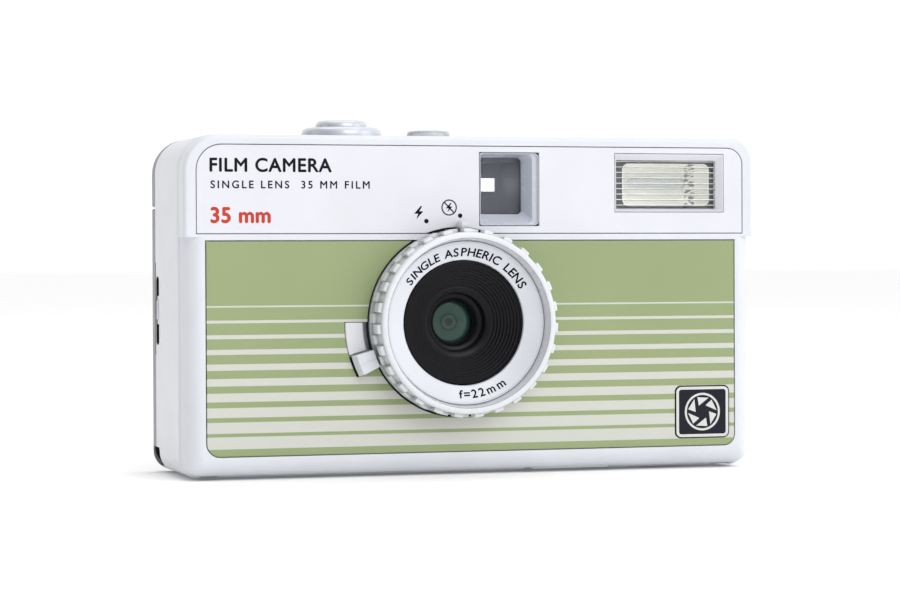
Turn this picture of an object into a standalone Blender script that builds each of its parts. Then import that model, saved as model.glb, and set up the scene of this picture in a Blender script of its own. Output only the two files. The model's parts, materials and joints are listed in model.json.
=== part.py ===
"""Half frame 35 mm camera standing on its base. Metres, +Z up, the front faces -Y.

Dimensions are in millimetres. A depth counts backwards from the flat front face.
"""

import math

import bmesh
import bpy

MM = 0.001
GAP = 0.3

# Body
BODY_W = 110.0
BODY_H = 62.0
BODY_D = 30.0
FRONT = -12.5
HALF = BODY_W / 2
WALL = 1.5
PLATE = 2.2
SHELL_END = 25.85
REAR_START = 26.15
CORNERS = (6.6, 4.3, 3.0, 3.6)
DOOR_TOP = 49.0
PANEL_POCKET = 1.0
PANEL_BACK = PANEL_POCKET - GAP
PANEL_GAP = 0.25

# Lens group
LENS_X = -3.65
LENS_Z = 27.7
LENS = (LENS_X, LENS_Z)
RING_TEETH = 27
RING_R = 16.6
TOOTH_R = 17.2
RING_BORE_R = 14.95
SHEET_HOLE_R = 17.4

FILTER_ARM = 10.5
FILTER_ARM_DOWN = 20.0
FILTER_SWING = 52.0
LEVER_STEM = (17.5, 25.5)
LEVER_SLOT = (17.2, 18.4, -1.0, 29.0)
LEVER_POCKET = (15.0, 19.2, -19.0, 47.0)
SHUTTER_PIVOT = (LENS_X + 8.5, LENS_Z + 2.0)

# Controls
BUTTON = (-22.1, 14.0)
COUNTER = (-5.8, 12.0)
DIAL = (-9.6, 15.8)
SPRING_R = 3.1
LEAF_THICK = 0.25
SPRING_WIRE_R = 0.22
WHEEL = (-38.5, 18.0)
WHEEL_R = 14.0
WHEEL_Z = 51.5
SPROCKET = (-21.5, 20.0)
CARTRIDGE = (38.0, 15.9)
BATTERY = (19.0, 9.5)
TRIPOD = (LENS_X, 14.5)
HINGE = (53.9, 26.0)
SCREWS = ((-49.5, 6.0), (-14.0, 22.5), (10.5, 21.0), (49.8, 5.2))
STRAP_DEPTHS = (23.1, 24.9)
GATE_W = 18.0
GATE_H = 24.0

# Viewfinder and flash openings: left, right, bottom, top
FINDER = (0.35, 12.05, 45.35, 59.0)
FLASH = (26.9, 48.8, 47.95, 58.95)
FACE = (-52.5, 52.5, 44.1, 60.0)
SHEET = (-50.8, 50.8, 4.1, 42.65)
BADGE = (38.95, 49.65, 5.55, 15.2)
EYEPIECE = (1.5, 10.9, 50.2, 56.0)
EYEPIECE_HOLE = (1.2, 11.2, 49.9, 56.3)
FINDER_TUBE = (-0.7, 11.3, 46.9, 58.2)


def at(depth):
    return FRONT + depth


def clear_scene():
    for old in list(bpy.data.objects):
        bpy.data.objects.remove(old, do_unlink=True)


def paint(name, rgb, roughness, metallic=0.0):
    made = bpy.data.materials.new(name)
    made.use_nodes = True
    shader = made.node_tree.nodes["Principled BSDF"]
    shader.inputs["Base Color"].default_value = (*rgb, 1.0)
    shader.inputs["Roughness"].default_value = roughness
    shader.inputs["Metallic"].default_value = metallic
    made.diffuse_color = (*rgb, 1.0)
    return made


def loft(loops, closed=False):
    """A skin over loops of equally many points, capped at both ends or closed on itself."""
    made = bmesh.new()
    rows = [[made.verts.new(point) for point in loop] for loop in loops]
    count = len(rows[0])
    last = len(rows) if closed else len(rows) - 1
    for i in range(last):
        low = rows[i]
        high = rows[(i + 1) % len(rows)]
        for j in range(count):
            k = (j + 1) % count
            made.faces.new((low[j], low[k], high[k], high[j]))
    if not closed:
        made.faces.new(rows[0])
        made.faces.new(rows[-1])
    bmesh.ops.recalc_face_normals(made, faces=made.faces[:])
    return made


def outline(x0, x1, z0, z1, radii=(0.0, 0.0, 0.0, 0.0), steps=4):
    """A rectangle with corner radii in the order top left, top right, bottom right, bottom left."""
    tl, tr, br, bl = radii
    corners = (
        (x0, z1, 1, -1, tl, 180),
        (x1, z1, -1, -1, tr, 90),
        (x1, z0, -1, 1, br, 0),
        (x0, z0, 1, 1, bl, 270),
    )
    points = []
    for cx, cz, sx, sz, radius, start in corners:
        if radius <= 0.01:
            points.append((cx, cz))
            continue
        for step in range(steps + 1):
            angle = math.radians(start - 90.0 * step / steps)
            x = cx + radius * (sx + math.cos(angle))
            z = cz + radius * (sz + math.sin(angle))
            points.append((x, z))
    return points


def inset_outline(inset, box, radii):
    kept = [max(radius - inset, 0.25) if radius > 0 else 0.0 for radius in radii]
    return outline(*grown(box, -inset), kept)


def grown(box, by):
    return (box[0] - by, box[1] + by, box[2] - by, box[3] + by)


def facing(points, depth):
    """Outline points in X and Z, placed at a depth."""
    return [(x, at(depth), z) for x, z in points]


def level(points, z):
    """Outline points in X and depth, placed at a height."""
    return [(x, at(d), z) for x, d in points]


def prism(points, d0, d1):
    return loft([facing(points, d0), facing(points, d1)])


def slab(points, z0, z1):
    return loft([level(points, z0), level(points, z1)])


def brick(x0, x1, d0, d1, z0, z1):
    return prism(outline(x0, x1, z0, z1), d0, d1)


def disc_points(radius, count):
    turns = [2 * math.pi * i / count for i in range(count)]
    return [(radius * math.cos(turn), radius * math.sin(turn)) for turn in turns]


def turned(profile, centre, axis, count=32, closed=False):
    """A body turned about an axis. The profile holds (radius, position along the axis)."""
    loops = []
    for radius, along in profile:
        loop = []
        for a, b in disc_points(radius, count):
            if axis == "Z":
                loop.append((centre[0] + a, at(centre[1]) + b, along))
            elif axis == "Y":
                loop.append((centre[0] + a, at(along), centre[1] + b))
            else:
                loop.append((along, at(centre[0]) + a, centre[1] + b))
        loops.append(loop)
    return loft(loops, closed)


def rod(centre, radius, start, end, axis="Z", count=24):
    return turned([(radius, start), (radius, end)], centre, axis, count)


def sector(r0, r1, a0, a1, d0, d1, steps=6):
    """A piece of a ring about the lens axis. Angles count down from the horizontal on the left."""
    points = []
    for radius, first, last in ((r1, a0, a1), (r0, a1, a0)):
        for step in range(steps + 1):
            angle = math.radians(first + (last - first) * step / steps)
            points.append((LENS_X - radius * math.cos(angle), LENS_Z - radius * math.sin(angle)))
    return prism(points, d0, d1)


def link(start, end, half, d0, d1):
    """A straight bar between two points of the X and Z plane."""
    run = math.dist(start, end)
    ux = (end[0] - start[0]) / run
    uz = (end[1] - start[1]) / run
    corners = []
    for spot, side in ((start, 1), (end, 1), (end, -1), (start, -1)):
        corners.append((spot[0] - uz * half * side, spot[1] + ux * half * side))
    return prism(corners, d0, d1)


def merged(bodies):
    """Several bodies that don't touch, held in one mesh."""
    whole = bmesh.new()
    for body in bodies:
        piece = bpy.data.meshes.new("piece")
        body.to_mesh(piece)
        body.free()
        whole.from_mesh(piece)
        bpy.data.meshes.remove(piece)
    return whole


def place(name, body, material=None, origin=(0.0, 0.0, 0.0), flat_angle=32.0):
    """Turns a body in millimetres into an object in metres, with its origin where it is asked for."""
    bmesh.ops.translate(body, verts=body.verts[:], vec=[-value for value in origin])
    bmesh.ops.scale(body, verts=body.verts[:], vec=(MM, MM, MM))
    for face in body.faces:
        face.smooth = True
    for edge in body.edges:
        if len(edge.link_faces) == 2:
            edge.smooth = edge.calc_face_angle(0.0) < math.radians(flat_angle)
    mesh = bpy.data.meshes.new(name)
    body.to_mesh(mesh)
    body.free()
    made = bpy.data.objects.new(name, mesh)
    made.location = [value * MM for value in origin]
    bpy.context.scene.collection.objects.link(made)
    if material:
        mesh.materials.append(material)
    return made


def combine(target, bodies, operation):
    helper = place(f"{target.name}_{operation.lower()}_{len(target.modifiers)}", merged(bodies))
    helper.hide_render = True
    helper.display_type = "WIRE"
    change = target.modifiers.new(operation.title(), "BOOLEAN")
    change.operation = operation
    change.solver = "EXACT"
    change.object = helper


def cut(target, *bodies):
    combine(target, bodies, "DIFFERENCE")


def join(target, *bodies):
    combine(target, bodies, "UNION")


def box_prism(box, d0, d1, radii=(0.0, 0.0, 0.0, 0.0)):
    return prism(outline(*box, radii), d0, d1)


def materials():
    return {
        "white": paint("white_shell", (0.80, 0.81, 0.84), 0.34),
        "face": paint("faceplate_white", (0.78, 0.78, 0.82), 0.42),
        "green": paint("green_sheet", (0.34, 0.41, 0.20), 0.38),
        "badge": paint("badge_black", (0.014, 0.017, 0.023), 0.3),
        "dark": paint("black_inside", (0.02, 0.02, 0.022), 0.6),
        "grey": paint("rear_grey", (0.24, 0.25, 0.245), 0.45),
        "silver": paint("silver_trim", (0.72, 0.74, 0.78), 0.25, 0.5),
        "steel": paint("steel", (0.62, 0.62, 0.64), 0.3, 1.0),
        "brass": paint("brass_insert", (0.72, 0.55, 0.27), 0.3, 1.0),
        "clear": paint("clear_window", (0.85, 0.88, 0.9), 0.05),
        "lens": paint("lens_glass", (0.05, 0.11, 0.09), 0.04),
        "cream": paint("reflector_cream", (0.78, 0.78, 0.68), 0.3),
        "funnel": paint("funnel_black", (0.012, 0.012, 0.015), 0.4),
        "board": paint("circuit_green", (0.03, 0.16, 0.08), 0.45),
        "bezel": paint("finder_bezel", (0.56, 0.58, 0.64), 0.25),
    }


def shell_cutters():
    """Openings through the front, top and side walls of the front cover."""
    face_pocket = box_prism(grown(FACE, PANEL_GAP), -3, PANEL_POCKET, (4.85, 3.25, 0, 0))
    finder = box_prism(grown(FINDER, 0.05), 0.5, 5)
    flash = box_prism(grown(FLASH, 0.05), 0.5, 5)
    lens = rod(LENS, 15.0, -3, 5, "Y", 64)
    top = [
        rod(BUTTON, 7.75, 59, 66, "Z", 40),
        rod(COUNTER, 4.35, 59, 66, "Z", 32),
    ]
    bottom = [
        rod(CARTRIDGE, 9.3, -2, 2.1, "Z", 48),
        slab(outline(BATTERY[0] - 8.3, BATTERY[0] + 8.3, BATTERY[1] - 6.6, BATTERY[1] + 6.6), -2, 2.1),
        rod(TRIPOD, 5.1, -2, 2.1, "Z", 32),
        rod(SPROCKET, 2.6, -2, 2.1, "Z", 24),
    ]
    countersink = [(3.0, -1.0), (2.0, 0.05), (2.0, 0.9), (1.2, 0.9), (1.2, 2.1)]
    bottom += [turned(countersink, spot, "Z", 20) for spot in SCREWS]
    latch = brick(-57, -52.5, 22.5, 25.3, 23.6, 36.3)
    strap = brick(-57, -51.4, 22.5, 27, 0.95, 4.5)
    hinge = rod(HINGE, 1.75, -3, DOOR_TOP + 0.15, "Z", 20)
    return face_pocket, finder, flash, lens, top + bottom, latch, strap, hinge


def sheet_body(offset, front, rear):
    """The striped sheet, or the pocket for it when it is grown by an offset."""
    return box_prism(grown(SHEET, offset), front, rear, (0, 0, 2.0 + offset, 2.4 + offset))


def build_front_cover(look):
    box = (-HALF, HALF, 0.0, BODY_H)
    path = ((2.0, 0.0), (1.15, 0.3), (0.5, 1.2), (0.12, 3.0), (0.0, 5.0), (0.0, SHELL_END))
    loops = [facing(inset_outline(inset, box, CORNERS), depth) for inset, depth in path]
    loops.append(facing(inset_outline(WALL, box, CORNERS), SHELL_END))
    loops.append(facing(inset_outline(WALL, box, CORNERS), PLATE))
    cover = place("front_cover", loft(loops), look["white"])
    face_pocket, finder, flash, lens, level_holes, latch, strap, hinge = shell_cutters()
    cut(cover, face_pocket)
    sheet_pocket = place("sheet_pocket", sheet_body(PANEL_GAP, -3, PANEL_POCKET))
    cut(sheet_pocket, rod(LENS, SHEET_HOLE_R - PANEL_GAP, -5, 5, "Y", 72))
    sheet_pocket.hide_render = True
    sheet_pocket.display_type = "WIRE"
    pocket = cover.modifiers.new("Sheet pocket", "BOOLEAN")
    pocket.operation = "DIFFERENCE"
    pocket.solver = "EXACT"
    pocket.object = sheet_pocket
    cut(cover, finder, flash, lens)
    cut(cover, sector(*LEVER_SLOT, -3, 5), latch, strap, hinge, *level_holes)


def build_panels(look):
    face = place("faceplate", box_prism(FACE, 0, PANEL_BACK, (4.6, 3.0, 0, 0)), look["face"])
    cut(
        face,
        box_prism(FINDER, -1, 2),
        box_prism(FLASH, -1, 2),
        rod(LENS, SHEET_HOLE_R, -1, 2, "Y", 72),
    )
    sheet = place("striped_sheet", sheet_body(0.0, 0, PANEL_BACK), look["green"])
    cut(sheet, rod(LENS, SHEET_HOLE_R, -1, 2, "Y", 72))
    lever_window = sector(16.0, 22.05, -0.8, 28.2, -1, 2, 8)
    badge_window = box_prism(grown(BADGE, 0.2), -1, 2, (1.2, 1.2, 1.2, 1.2))
    cut(sheet, lever_window, badge_window)
    place("badge", box_prism(BADGE, -0.12, PANEL_BACK, (1.0, 1.0, 1.0, 1.0)), look["badge"])


def funnel_cut(near, far, d0, d1):
    """A square-sided space that narrows from one rectangle to another."""
    return loft([facing(outline(*near), d0), facing(outline(*far), d1)])


def build_chassis(look):
    box = (-HALF + 1.8, HALF - 1.8, 1.8, DOOR_TOP)
    chassis = place("chassis", box_prism(box, 2.5, 25.7, (0.4, 0.4, 1.6, 2.2)), look["dark"])
    gate = (LENS_X - GATE_W / 2, LENS_X + GATE_W / 2, LENS_Z - GATE_H / 2, LENS_Z + GATE_H / 2)
    rails = [brick(-12.7, 5.4, 25.0, 26.3, edge - 0.6, edge + 0.6) for edge in (LENS_Z - 14.6, LENS_Z + 14.6)]
    knuckle = rod(HINGE, 1.1, 19.2, 30.8, "Z", 16)
    web = brick(52.3, 53.9, 25.0, 25.9, 19.2, 30.8)
    join(chassis, *rails, web)
    join(chassis, knuckle)
    cx, cd = CARTRIDGE
    wx, wd = WHEEL
    sx, sd = SPROCKET
    cut(
        chassis,
        rod(CARTRIDGE, 12.7, 3.9, 47.4, "Z", 48),
        rod(WHEEL, 10.2, 4.0, 47.5, "Z", 40),
        rod(SPROCKET, 5.6, 8.0, 47.5, "Z", 28),
        rod(LENS, 16.0, 1, 12.4, "Y", 48),
    )
    cut(
        chassis,
        brick(cx - 12.6, cx + 12.6, cd, 28, 4.1, 47.2),
        brick(wx - 10.1, wx + 10.1, wd, 28, 4.2, 47.3),
        brick(sx - 5.5, sx + 5.5, sd, 28, 8.2, 47.3),
        funnel_cut((LENS_X - 5, LENS_X + 5, LENS_Z - 6, LENS_Z + 6), gate, 11.5, 26.6),
        rod(BATTERY, 5.6, 0, 48.4, "Z", 28),
        rod(TRIPOD, 5.1, 0, 9.2, "Z", 28),
    )
    cut(chassis, brick(0.2, 12.2, 2, 4.1, 45.1, 50))
    cut(
        chassis,
        rod(CARTRIDGE, 9.3, 0, 3.1, "Z", 48),
        rod(WHEEL, 2.3, 46, 51, "Z", 20),
        rod(SPROCKET, 2.6, 0, 5.0, "Z", 24),
        brick(-54, -49.6, 21.6, 27, 21.5, 39.2),
        brick(-54, -50.6, 20.5, 27, 0, 5.4),
        rod(HINGE, 1.4, 0, 18.9, "Z", 20),
        rod(HINGE, 1.4, 31.1, 50, "Z", 20),
        slab(outline(BATTERY[0] - 8.5, BATTERY[0] + 8.5, BATTERY[1] - 6.7, BATTERY[1] + 6.7), 0, 2.4),
        *[rod(spot, 1.3, 0, 6.4, "Z", 16) for spot in SCREWS],
    )
    cut(
        chassis,
        brick(-1.0, 11.6, 2, 27, 46.6, 50),
        brick(27.2, 48.5, 2, 6.2, 48.5, 50),
        sector(*LEVER_POCKET, 1, 8, 16),
        *[rod((depth, 2.9), 0.8, -52, -48.5, "X", 12) for depth in STRAP_DEPTHS],
    )
    cut(
        chassis,
        rod(CARTRIDGE, 2.6, 2, 5, "Z", 24),
        rod(SPROCKET, 1.3, 4, 9, "Z", 16),
        rod(SPROCKET, 1.3, 46, 51, "Z", 16),
        rod(WHEEL, 1.5, 2.6, 5, "Z", 16),
        rod(HINGE, 0.75, 18, 32, "Z", 12),
    )


def build_rear(look):
    top_box = (-HALF, HALF, DOOR_TOP + GAP, BODY_H)
    path = ((WALL, 28.3), (WALL, REAR_START), (0.0, REAR_START), (0.0, 28.2), (0.45, 29.4), (1.6, BODY_D))
    loops = [facing(inset_outline(inset, top_box, (*CORNERS[:2], 0.4, 0.4)), depth) for inset, depth in path]
    top = place("rear_top_cover", loft(loops), look["grey"])
    chord = math.sqrt(WHEEL_R**2 - (REAR_START - WHEEL[1]) ** 2) + 0.5
    cut(
        top,
        brick(WHEEL[0] - chord, WHEEL[0] + chord, 25, 31, WHEEL_Z - 0.4, WHEEL_Z + 5.4),
        box_prism(EYEPIECE_HOLE, 25, 31),
    )

    door_box = (-HALF, HALF, 0.0, DOOR_TOP)
    path = ((WALL, 28.4), (WALL, REAR_START), (0.0, REAR_START), (0.0, 28.2), (0.45, 29.4), (1.6, BODY_D))
    loops = [facing(inset_outline(inset, door_box, (0.4, 0.4, *CORNERS[2:])), depth) for inset, depth in path]
    origin = (HINGE[0], at(HINGE[1]), 0.0)
    door = place("back_door", loft(loops), look["grey"], origin)
    cut(door, rod(HINGE, 1.4, -1, 50, "Z", 20), brick(-57, -51.4, 26, 28.2, 0.95, 4.5))
    webs = []
    knuckles = []
    for low, high in ((7.0, 18.6), (31.4, 43.0)):
        knuckles.append(rod(HINGE, 1.1, low, high, "Z", 16))
        webs.append(brick(52.5, 53.9, 26.2, 29.0, low, high))
    hook = brick(-51.8, -50.6, 24.3, 29.0, 29.2, 33.0)
    join(door, *webs, hook)
    join(door, *knuckles)
    cut(door, rod(HINGE, 0.75, 5, 45, "Z", 12))
    place("hinge_pin", rod(HINGE, 0.45, 6.4, 43.6, "Z", 12), look["steel"])

    gate = (LENS_X - 10.5, LENS_X + 10.5, LENS_Z - 16.5, LENS_Z + 16.5)
    place("pressure_plate", box_prism(gate, 26.6, 27.2, (1, 1, 1, 1)), look["steel"])
    bends = ((-8, 27.75), (-7, 27.75), (-1.5, 27.5), (1.5, 27.5), (7, 27.75), (8, 27.75))
    leaf = [(LENS_X + x, depth) for x, depth in bends]
    back = [(x, depth + LEAF_THICK) for x, depth in reversed(leaf)]
    place("pressure_spring", slab(leaf + back, LENS_Z - 5, LENS_Z + 5), look["brass"])


def build_latch(look):
    slider = place("latch_slider", brick(-53.2, -52.2, 22.9, 25.8, 28.8, 35.8), look["silver"])
    join(slider, brick(-54.8, -53.0, 22.85, 24.95, 27.4, 32.7))
    join(slider, brick(-55.0, -54.6, 23.3, 24.5, 29.3, 30.7))
    bar = place("strap_bar", rod((-53.2, 2.9), 0.5, 22.7, 25.4, "Y", 12), look["steel"])
    join(bar, *[rod((depth, 2.9), 0.46, -53.2, -48.9, "X", 12) for depth in STRAP_DEPTHS])


def build_finder(look):
    x0, x1, z0, z1 = FINDER
    inner = (x0 + 1.0, x1 - 2.5, z0 + 2.2, z1 - 1.8)
    outer = outline(*grown(FINDER, -0.15))
    loops = [
        facing(outer, 0.0),
        facing(outline(*grown(FINDER, -0.55)), 0.0),
        facing(outline(*inner), 3.0),
        facing(outline(*inner), 3.7),
        facing(outer, 3.7),
    ]
    place("finder_frame", loft(loops, True), look["bezel"])
    tube = FINDER_TUBE
    hole = (0.2, 10.4, 47.7, 57.4)
    duct = place("finder_tunnel", box_prism(tube, 6.2, 25.6), look["dark"])
    cut(duct, box_prism(hole, 5, 27))
    place("finder_front_lens", box_prism(tube, 4.0, 5.9, (0.5, 0.5, 0.5, 0.5)), look["clear"])
    frame = EYEPIECE
    eye = place("eyepiece_frame", box_prism(frame, 26.3, 32.0, (1.0, 1.0, 1.0, 1.0)), look["dark"])
    cut(eye, box_prism(grown(frame, -1.2), 26, 33, (0.6, 0.6, 0.6, 0.6)))
    cut(eye, box_prism(grown(frame, -0.6), 26, 28.4, (0.6, 0.6, 0.6, 0.6)))
    place("finder_rear_lens", box_prism(grown(frame, -0.9), 26.6, 28.1, (0.4, 0.4, 0.4, 0.4)), look["clear"])


def build_flash(look):
    clear = (27.2, 48.5, 48.25, 58.65)
    low = clear[2]
    ribs = 10
    pitch = (clear[3] - low) / ribs
    profile = [(0.9, low), (0.9, clear[3])]
    for i in range(ribs, 0, -1):
        profile.append((1.5, low + pitch * i - pitch * 0.1))
        profile.append((1.75, low + pitch * i - pitch * 0.5))
        profile.append((1.5, low + pitch * i - pitch * 0.9))
    window = loft([[(x, at(d), z) for d, z in profile] for x in (clear[0], clear[1])])
    place("flash_window", window, look["clear"])
    mouth = (28.3, 47.4, 49.6, 57.5)
    throat = (31.5, 44.2, 51.6, 55.5)
    loops = [
        facing(outline(*grown(mouth, 0.7)), 2.6),
        facing(outline(*mouth), 2.6),
        facing(outline(*grown(throat, 0.8)), 6.6),
        facing(outline(*throat), 9.4),
    ]
    rear = [facing(outline(*grown(throat, 0.7)), 10.1), facing(outline(*grown(throat, 1.6)), 6.8)]
    body = loft([loops[3], loops[2], loops[1], loops[0], rear[1], rear[0]])
    place("flash_reflector", body, look["cream"])
    place("flash_tube", rod((6.9, 53.55), 1.1, 32.0, 43.7, "X", 16), look["clear"])
    place("flash_board", slab(outline(15.5, 51.5, 12.5, 24.5), 49.6, 50.8), look["board"])
    place("flash_capacitor", rod((18.6, 55.4), 4.2, 24.0, 46.0, "X", 24), look["dark"])


def ring_loops():
    """The knurled ring: two rows of raised pads, the second half a pitch round from the first."""
    rows = (
        (RING_BORE_R, -0.4, 0),
        (16.5, -0.4, 0),
        (RING_R, -0.65, 0),
        (None, -0.75, 1),
        (None, -3.45, 1),
        (None, -3.6, 2),
        (None, -6.35, 2),
        (RING_R, -6.45, 0),
        (16.25, -6.85, 0),
        (15.7, -7.0, 0),
        (15.35, -6.8, 0),
        (RING_BORE_R, -4.6, 0),
    )
    cells = RING_TEETH * 2
    loops = []
    for radius, depth, row in rows:
        loop = []
        for cell in range(cells):
            for side in (0.06, 0.94):
                angle = 2 * math.pi * (cell + side - 0.5) / cells
                raised = (cell + row) % 2 == 0
                here = radius if radius else (TOOTH_R if raised else RING_R)
                loop.append((LENS_X - here * math.sin(angle), at(depth), LENS_Z + here * math.cos(angle)))
        loops.append(loop)
    return loops


def build_lens(look):
    axis = (LENS_X, at(0), LENS_Z)
    ring = place("flash_ring", loft(ring_loops(), True), look["white"], axis, 40)
    join(ring, brick(LENS_X - 0.7, LENS_X + 0.7, -4.2, -0.9, LENS_Z + 16.2, LENS_Z + 18.5))
    mount = [(14.6, -3.6), (14.6, 3.0), (15.7, 3.0), (15.7, 4.2), (12.0, 4.2), (12.0, -2.4)]
    place("lens_mount", turned(mount, LENS, "Y", 48, True), look["dark"])
    face = [(14.65, -4.4), (14.3, -4.55), (11.45, -3.1), (11.45, -2.7), (11.75, -2.7), (14.65, -3.95)]
    place("lens_face", turned(face, LENS, "Y", 64, True), look["white"])
    steps = 9
    inner = []
    for i in range(steps):
        share = i / steps
        radius = 11.15 - (11.15 - 6.6) * share
        depth = -2.95 + (0.7 + 2.95) * share
        inner.append((radius, depth))
        inner.append((radius - 0.12, depth + 0.33))
    inner += [(6.5, 0.7), (5.6, 0.9), (5.35, 2.5), (4.4, 2.7), (3.83, 3.6), (3.83, 4.2)]
    outer = [(6.0, 4.2), (6.2, 2.9), (11.2, -1.4), (11.2, -2.95)]
    place("lens_funnel", turned(inner + outer, LENS, "Y", 32, True), look["funnel"])
    front = [(0.8, 4.55), (2.4, 4.75), (4.4, 5.3), (4.4, 6.2), (0.8, 6.2)]
    place("front_lens", turned(front, LENS, "Y", 32), look["lens"])
    plate = place("shutter_plate", rod(LENS, 13.0, 8.6, 9.4, "Y", 40), look["dark"])
    cut(plate, rod(LENS, 1.4, 8, 10, "Y", 24))
    pivot = SHUTTER_PIVOT
    join(plate, rod(pivot, 0.6, 9.2, 10.8, "Y", 12))
    origin = (pivot[0], at(0), pivot[1])
    blade = place("shutter_blade", rod(pivot, 1.5, 9.7, 10.1, "Y", 16), look["steel"], origin)
    join(blade, brick(LENS_X, pivot[0], 9.7, 10.1, LENS_Z - 1.2, LENS_Z + 3.2))
    join(blade, rod(LENS, 2.4, 9.7, 10.1, "Y", 20))
    cut(blade, rod(pivot, 0.9, 9, 11, "Y", 14))
    rear = [(0.8, 11.0), (3.4, 10.9), (4.2, 11.1), (4.2, 12.0), (2.4, 12.5), (0.8, 12.6)]
    place("rear_lens", turned(rear, LENS, "Y", 28), look["lens"])


def build_filter(look):
    pad = sector(18.5, 21.8, -0.4, 15.4, -0.4, PANEL_BACK, 8)
    place("filter_pad", pad, look["face"])
    axis = (LENS_X, at(0), LENS_Z)
    tab = sector(17.55, 21.7, 15.9, 27.2, -2.5, -0.7, 6)
    lever = place("filter_lever", tab, look["white"], axis)
    stem = sector(17.55, 18.1, *LEVER_STEM, -2.0, 6.9, 3)
    ridge = sector(18.6, 21.3, 20.6, 22.2, -2.9, -2.0, 2)
    join(lever, stem, ridge)
    slot_band = sector(17.0, 18.8, -2, 46, 2.35, 2.8, 16)
    inner_hook = sector(14.2, 17.9, *LEVER_STEM, 6.5, 7.0, 3)
    join(lever, slot_band)
    join(lever, inner_hook)
    swing = math.radians(FILTER_SWING)
    down = math.radians(FILTER_ARM_DOWN)
    reach = (FILTER_ARM * math.cos(down), FILTER_ARM * math.sin(down))
    pivot = (LENS_X - reach[0], LENS_Z - reach[1])
    parked = (
        pivot[0] + reach[0] * math.cos(swing) + reach[1] * math.sin(swing),
        pivot[1] - reach[0] * math.sin(swing) + reach[1] * math.cos(swing),
    )
    arm = place("filter_arm", rod(pivot, 1.4, 7.3, 7.8, "Y", 16), look["clear"], (pivot[0], at(0), pivot[1]))
    join(arm, rod(parked, 4.0, 7.3, 7.8, "Y", 28))
    join(arm, link(pivot, parked, 1.0, 7.3, 7.8))
    cut(arm, rod(pivot, 0.8, 7, 8, "Y", 12))


def build_controls(look):
    collar = [
        (7.45, 60.2), (7.45, 62.4), (7.3, 63.1), (6.85, 63.8),
        (5.2, 63.8), (5.2, 59.3), (8.6, 59.3), (8.6, 60.2),
    ]
    place("button_collar", turned(collar, BUTTON, "Z", 40, True), look["silver"])
    button = [
        (0.9, 56.6), (1.8, 56.6), (1.8, 60.6), (4.85, 60.6),
        (4.85, 64.2), (4.6, 64.9), (4.2, 65.16), (0.9, 65.05),
    ]
    origin = (BUTTON[0], at(BUTTON[1]), 60.6)
    place("shutter_button", turned(button, BUTTON, "Z", 36), look["silver"], origin)
    coil = []
    turns = 4
    for i in range(turns * 12 + 1):
        share = i / (turns * 12)
        angle = 2 * math.pi * turns * share
        centre = (BUTTON[0] + SPRING_R * math.cos(angle), at(BUTTON[1]) + SPRING_R * math.sin(angle))
        z = 57.95 + 2.05 * share
        loop = []
        for j in range(5):
            turn = 2 * math.pi * j / 5
            reach = SPRING_WIRE_R * math.cos(turn)
            x = centre[0] + reach * math.cos(angle)
            y = centre[1] + reach * math.sin(angle)
            loop.append((x, y, z + SPRING_WIRE_R * math.sin(turn)))
        coil.append(loop)
    place("button_spring", loft(coil), look["steel"])
    seat = place("button_seat", rod(BUTTON, 6.4, 56.85, 57.4, "Z", 24), look["dark"])
    join(seat, brick(-18.6, -16.2, 11.4, 16.6, DOOR_TOP + GAP, 57.1))
    cut(seat, rod(BUTTON, 2.2, 56, 58, "Z", 20))
    window = [(4.9, 59.4), (4.9, 60.2), (4.05, 60.2), (4.05, 62.9), (3.7, 63.3), (0.6, 63.35), (0.6, 59.4)]
    place("counter_window", turned(window[::-1], COUNTER, "Z", 28), look["clear"])
    origin = (DIAL[0], at(DIAL[1]), 58.0)
    dial = place("counter_dial", rod(DIAL, 8.3, 58.0, 59.0, "Z", 40), look["white"], origin)
    cut(dial, rod(DIAL, 1.2, 57, 60, "Z", 16))
    post = [(2.2, DOOR_TOP + GAP), (2.2, 57.7), (0.9, 57.7), (0.9, 59.2)]
    place("dial_post", turned(post, DIAL, "Z", 16), look["dark"])


def build_film_transport(look):
    origin = (WHEEL[0], at(WHEEL[1]), WHEEL_Z)
    teeth = 48
    rim = []
    for i in range(teeth):
        for radius, side in ((WHEEL_R, 0.0), (WHEEL_R, 0.45), (WHEEL_R - 0.55, 0.6), (WHEEL_R - 0.55, 0.9)):
            angle = 2 * math.pi * (i + side) / teeth
            rim.append((WHEEL[0] + radius * math.cos(angle), WHEEL[1] + radius * math.sin(angle)))
    wheel = place("advance_wheel", slab(rim, WHEEL_Z, WHEEL_Z + 5.0), look["grey"], origin, 20)
    cut(wheel, rod(WHEEL, 2.0, 50, 57, "Z", 20))
    cut(wheel, rod(WHEEL, 11.5, 54.0, 58, "Z", 36))
    join(wheel, turned([(1.6, 53.5), (1.6, 57.5), (5.5, 57.5), (5.5, 53.5)], WHEEL, "Z", 20, True))
    spool = [
        (1.2, 2.9), (1.2, 4.5), (7.0, 4.5), (7.0, 5.4), (5.5, 5.6), (5.5, 45.6),
        (7.0, 45.8), (7.0, 46.8), (1.3, 46.8), (1.3, 57.2),
    ]
    made = place("take_up_spool", turned(spool, WHEEL, "Z", 24), look["dark"], (WHEEL[0], at(WHEEL[1]), 0.0))
    cut(made, brick(WHEEL[0] - 0.6, WHEEL[0] + 0.6, WHEEL[1] + 2, WHEEL[1] + 8, 15, 40))
    drum = [
        (1.0, 5.4), (1.0, 8.4), (5.1, 8.4), (5.1, 14.6), (3.4, 15.2), (3.4, 40.2),
        (5.1, 40.8), (5.1, 47.1), (1.0, 47.1), (1.0, 50.5),
    ]
    place("sprocket", turned(drum, SPROCKET, "Z", 28), look["dark"], (SPROCKET[0], at(SPROCKET[1]), 0.0))


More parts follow.
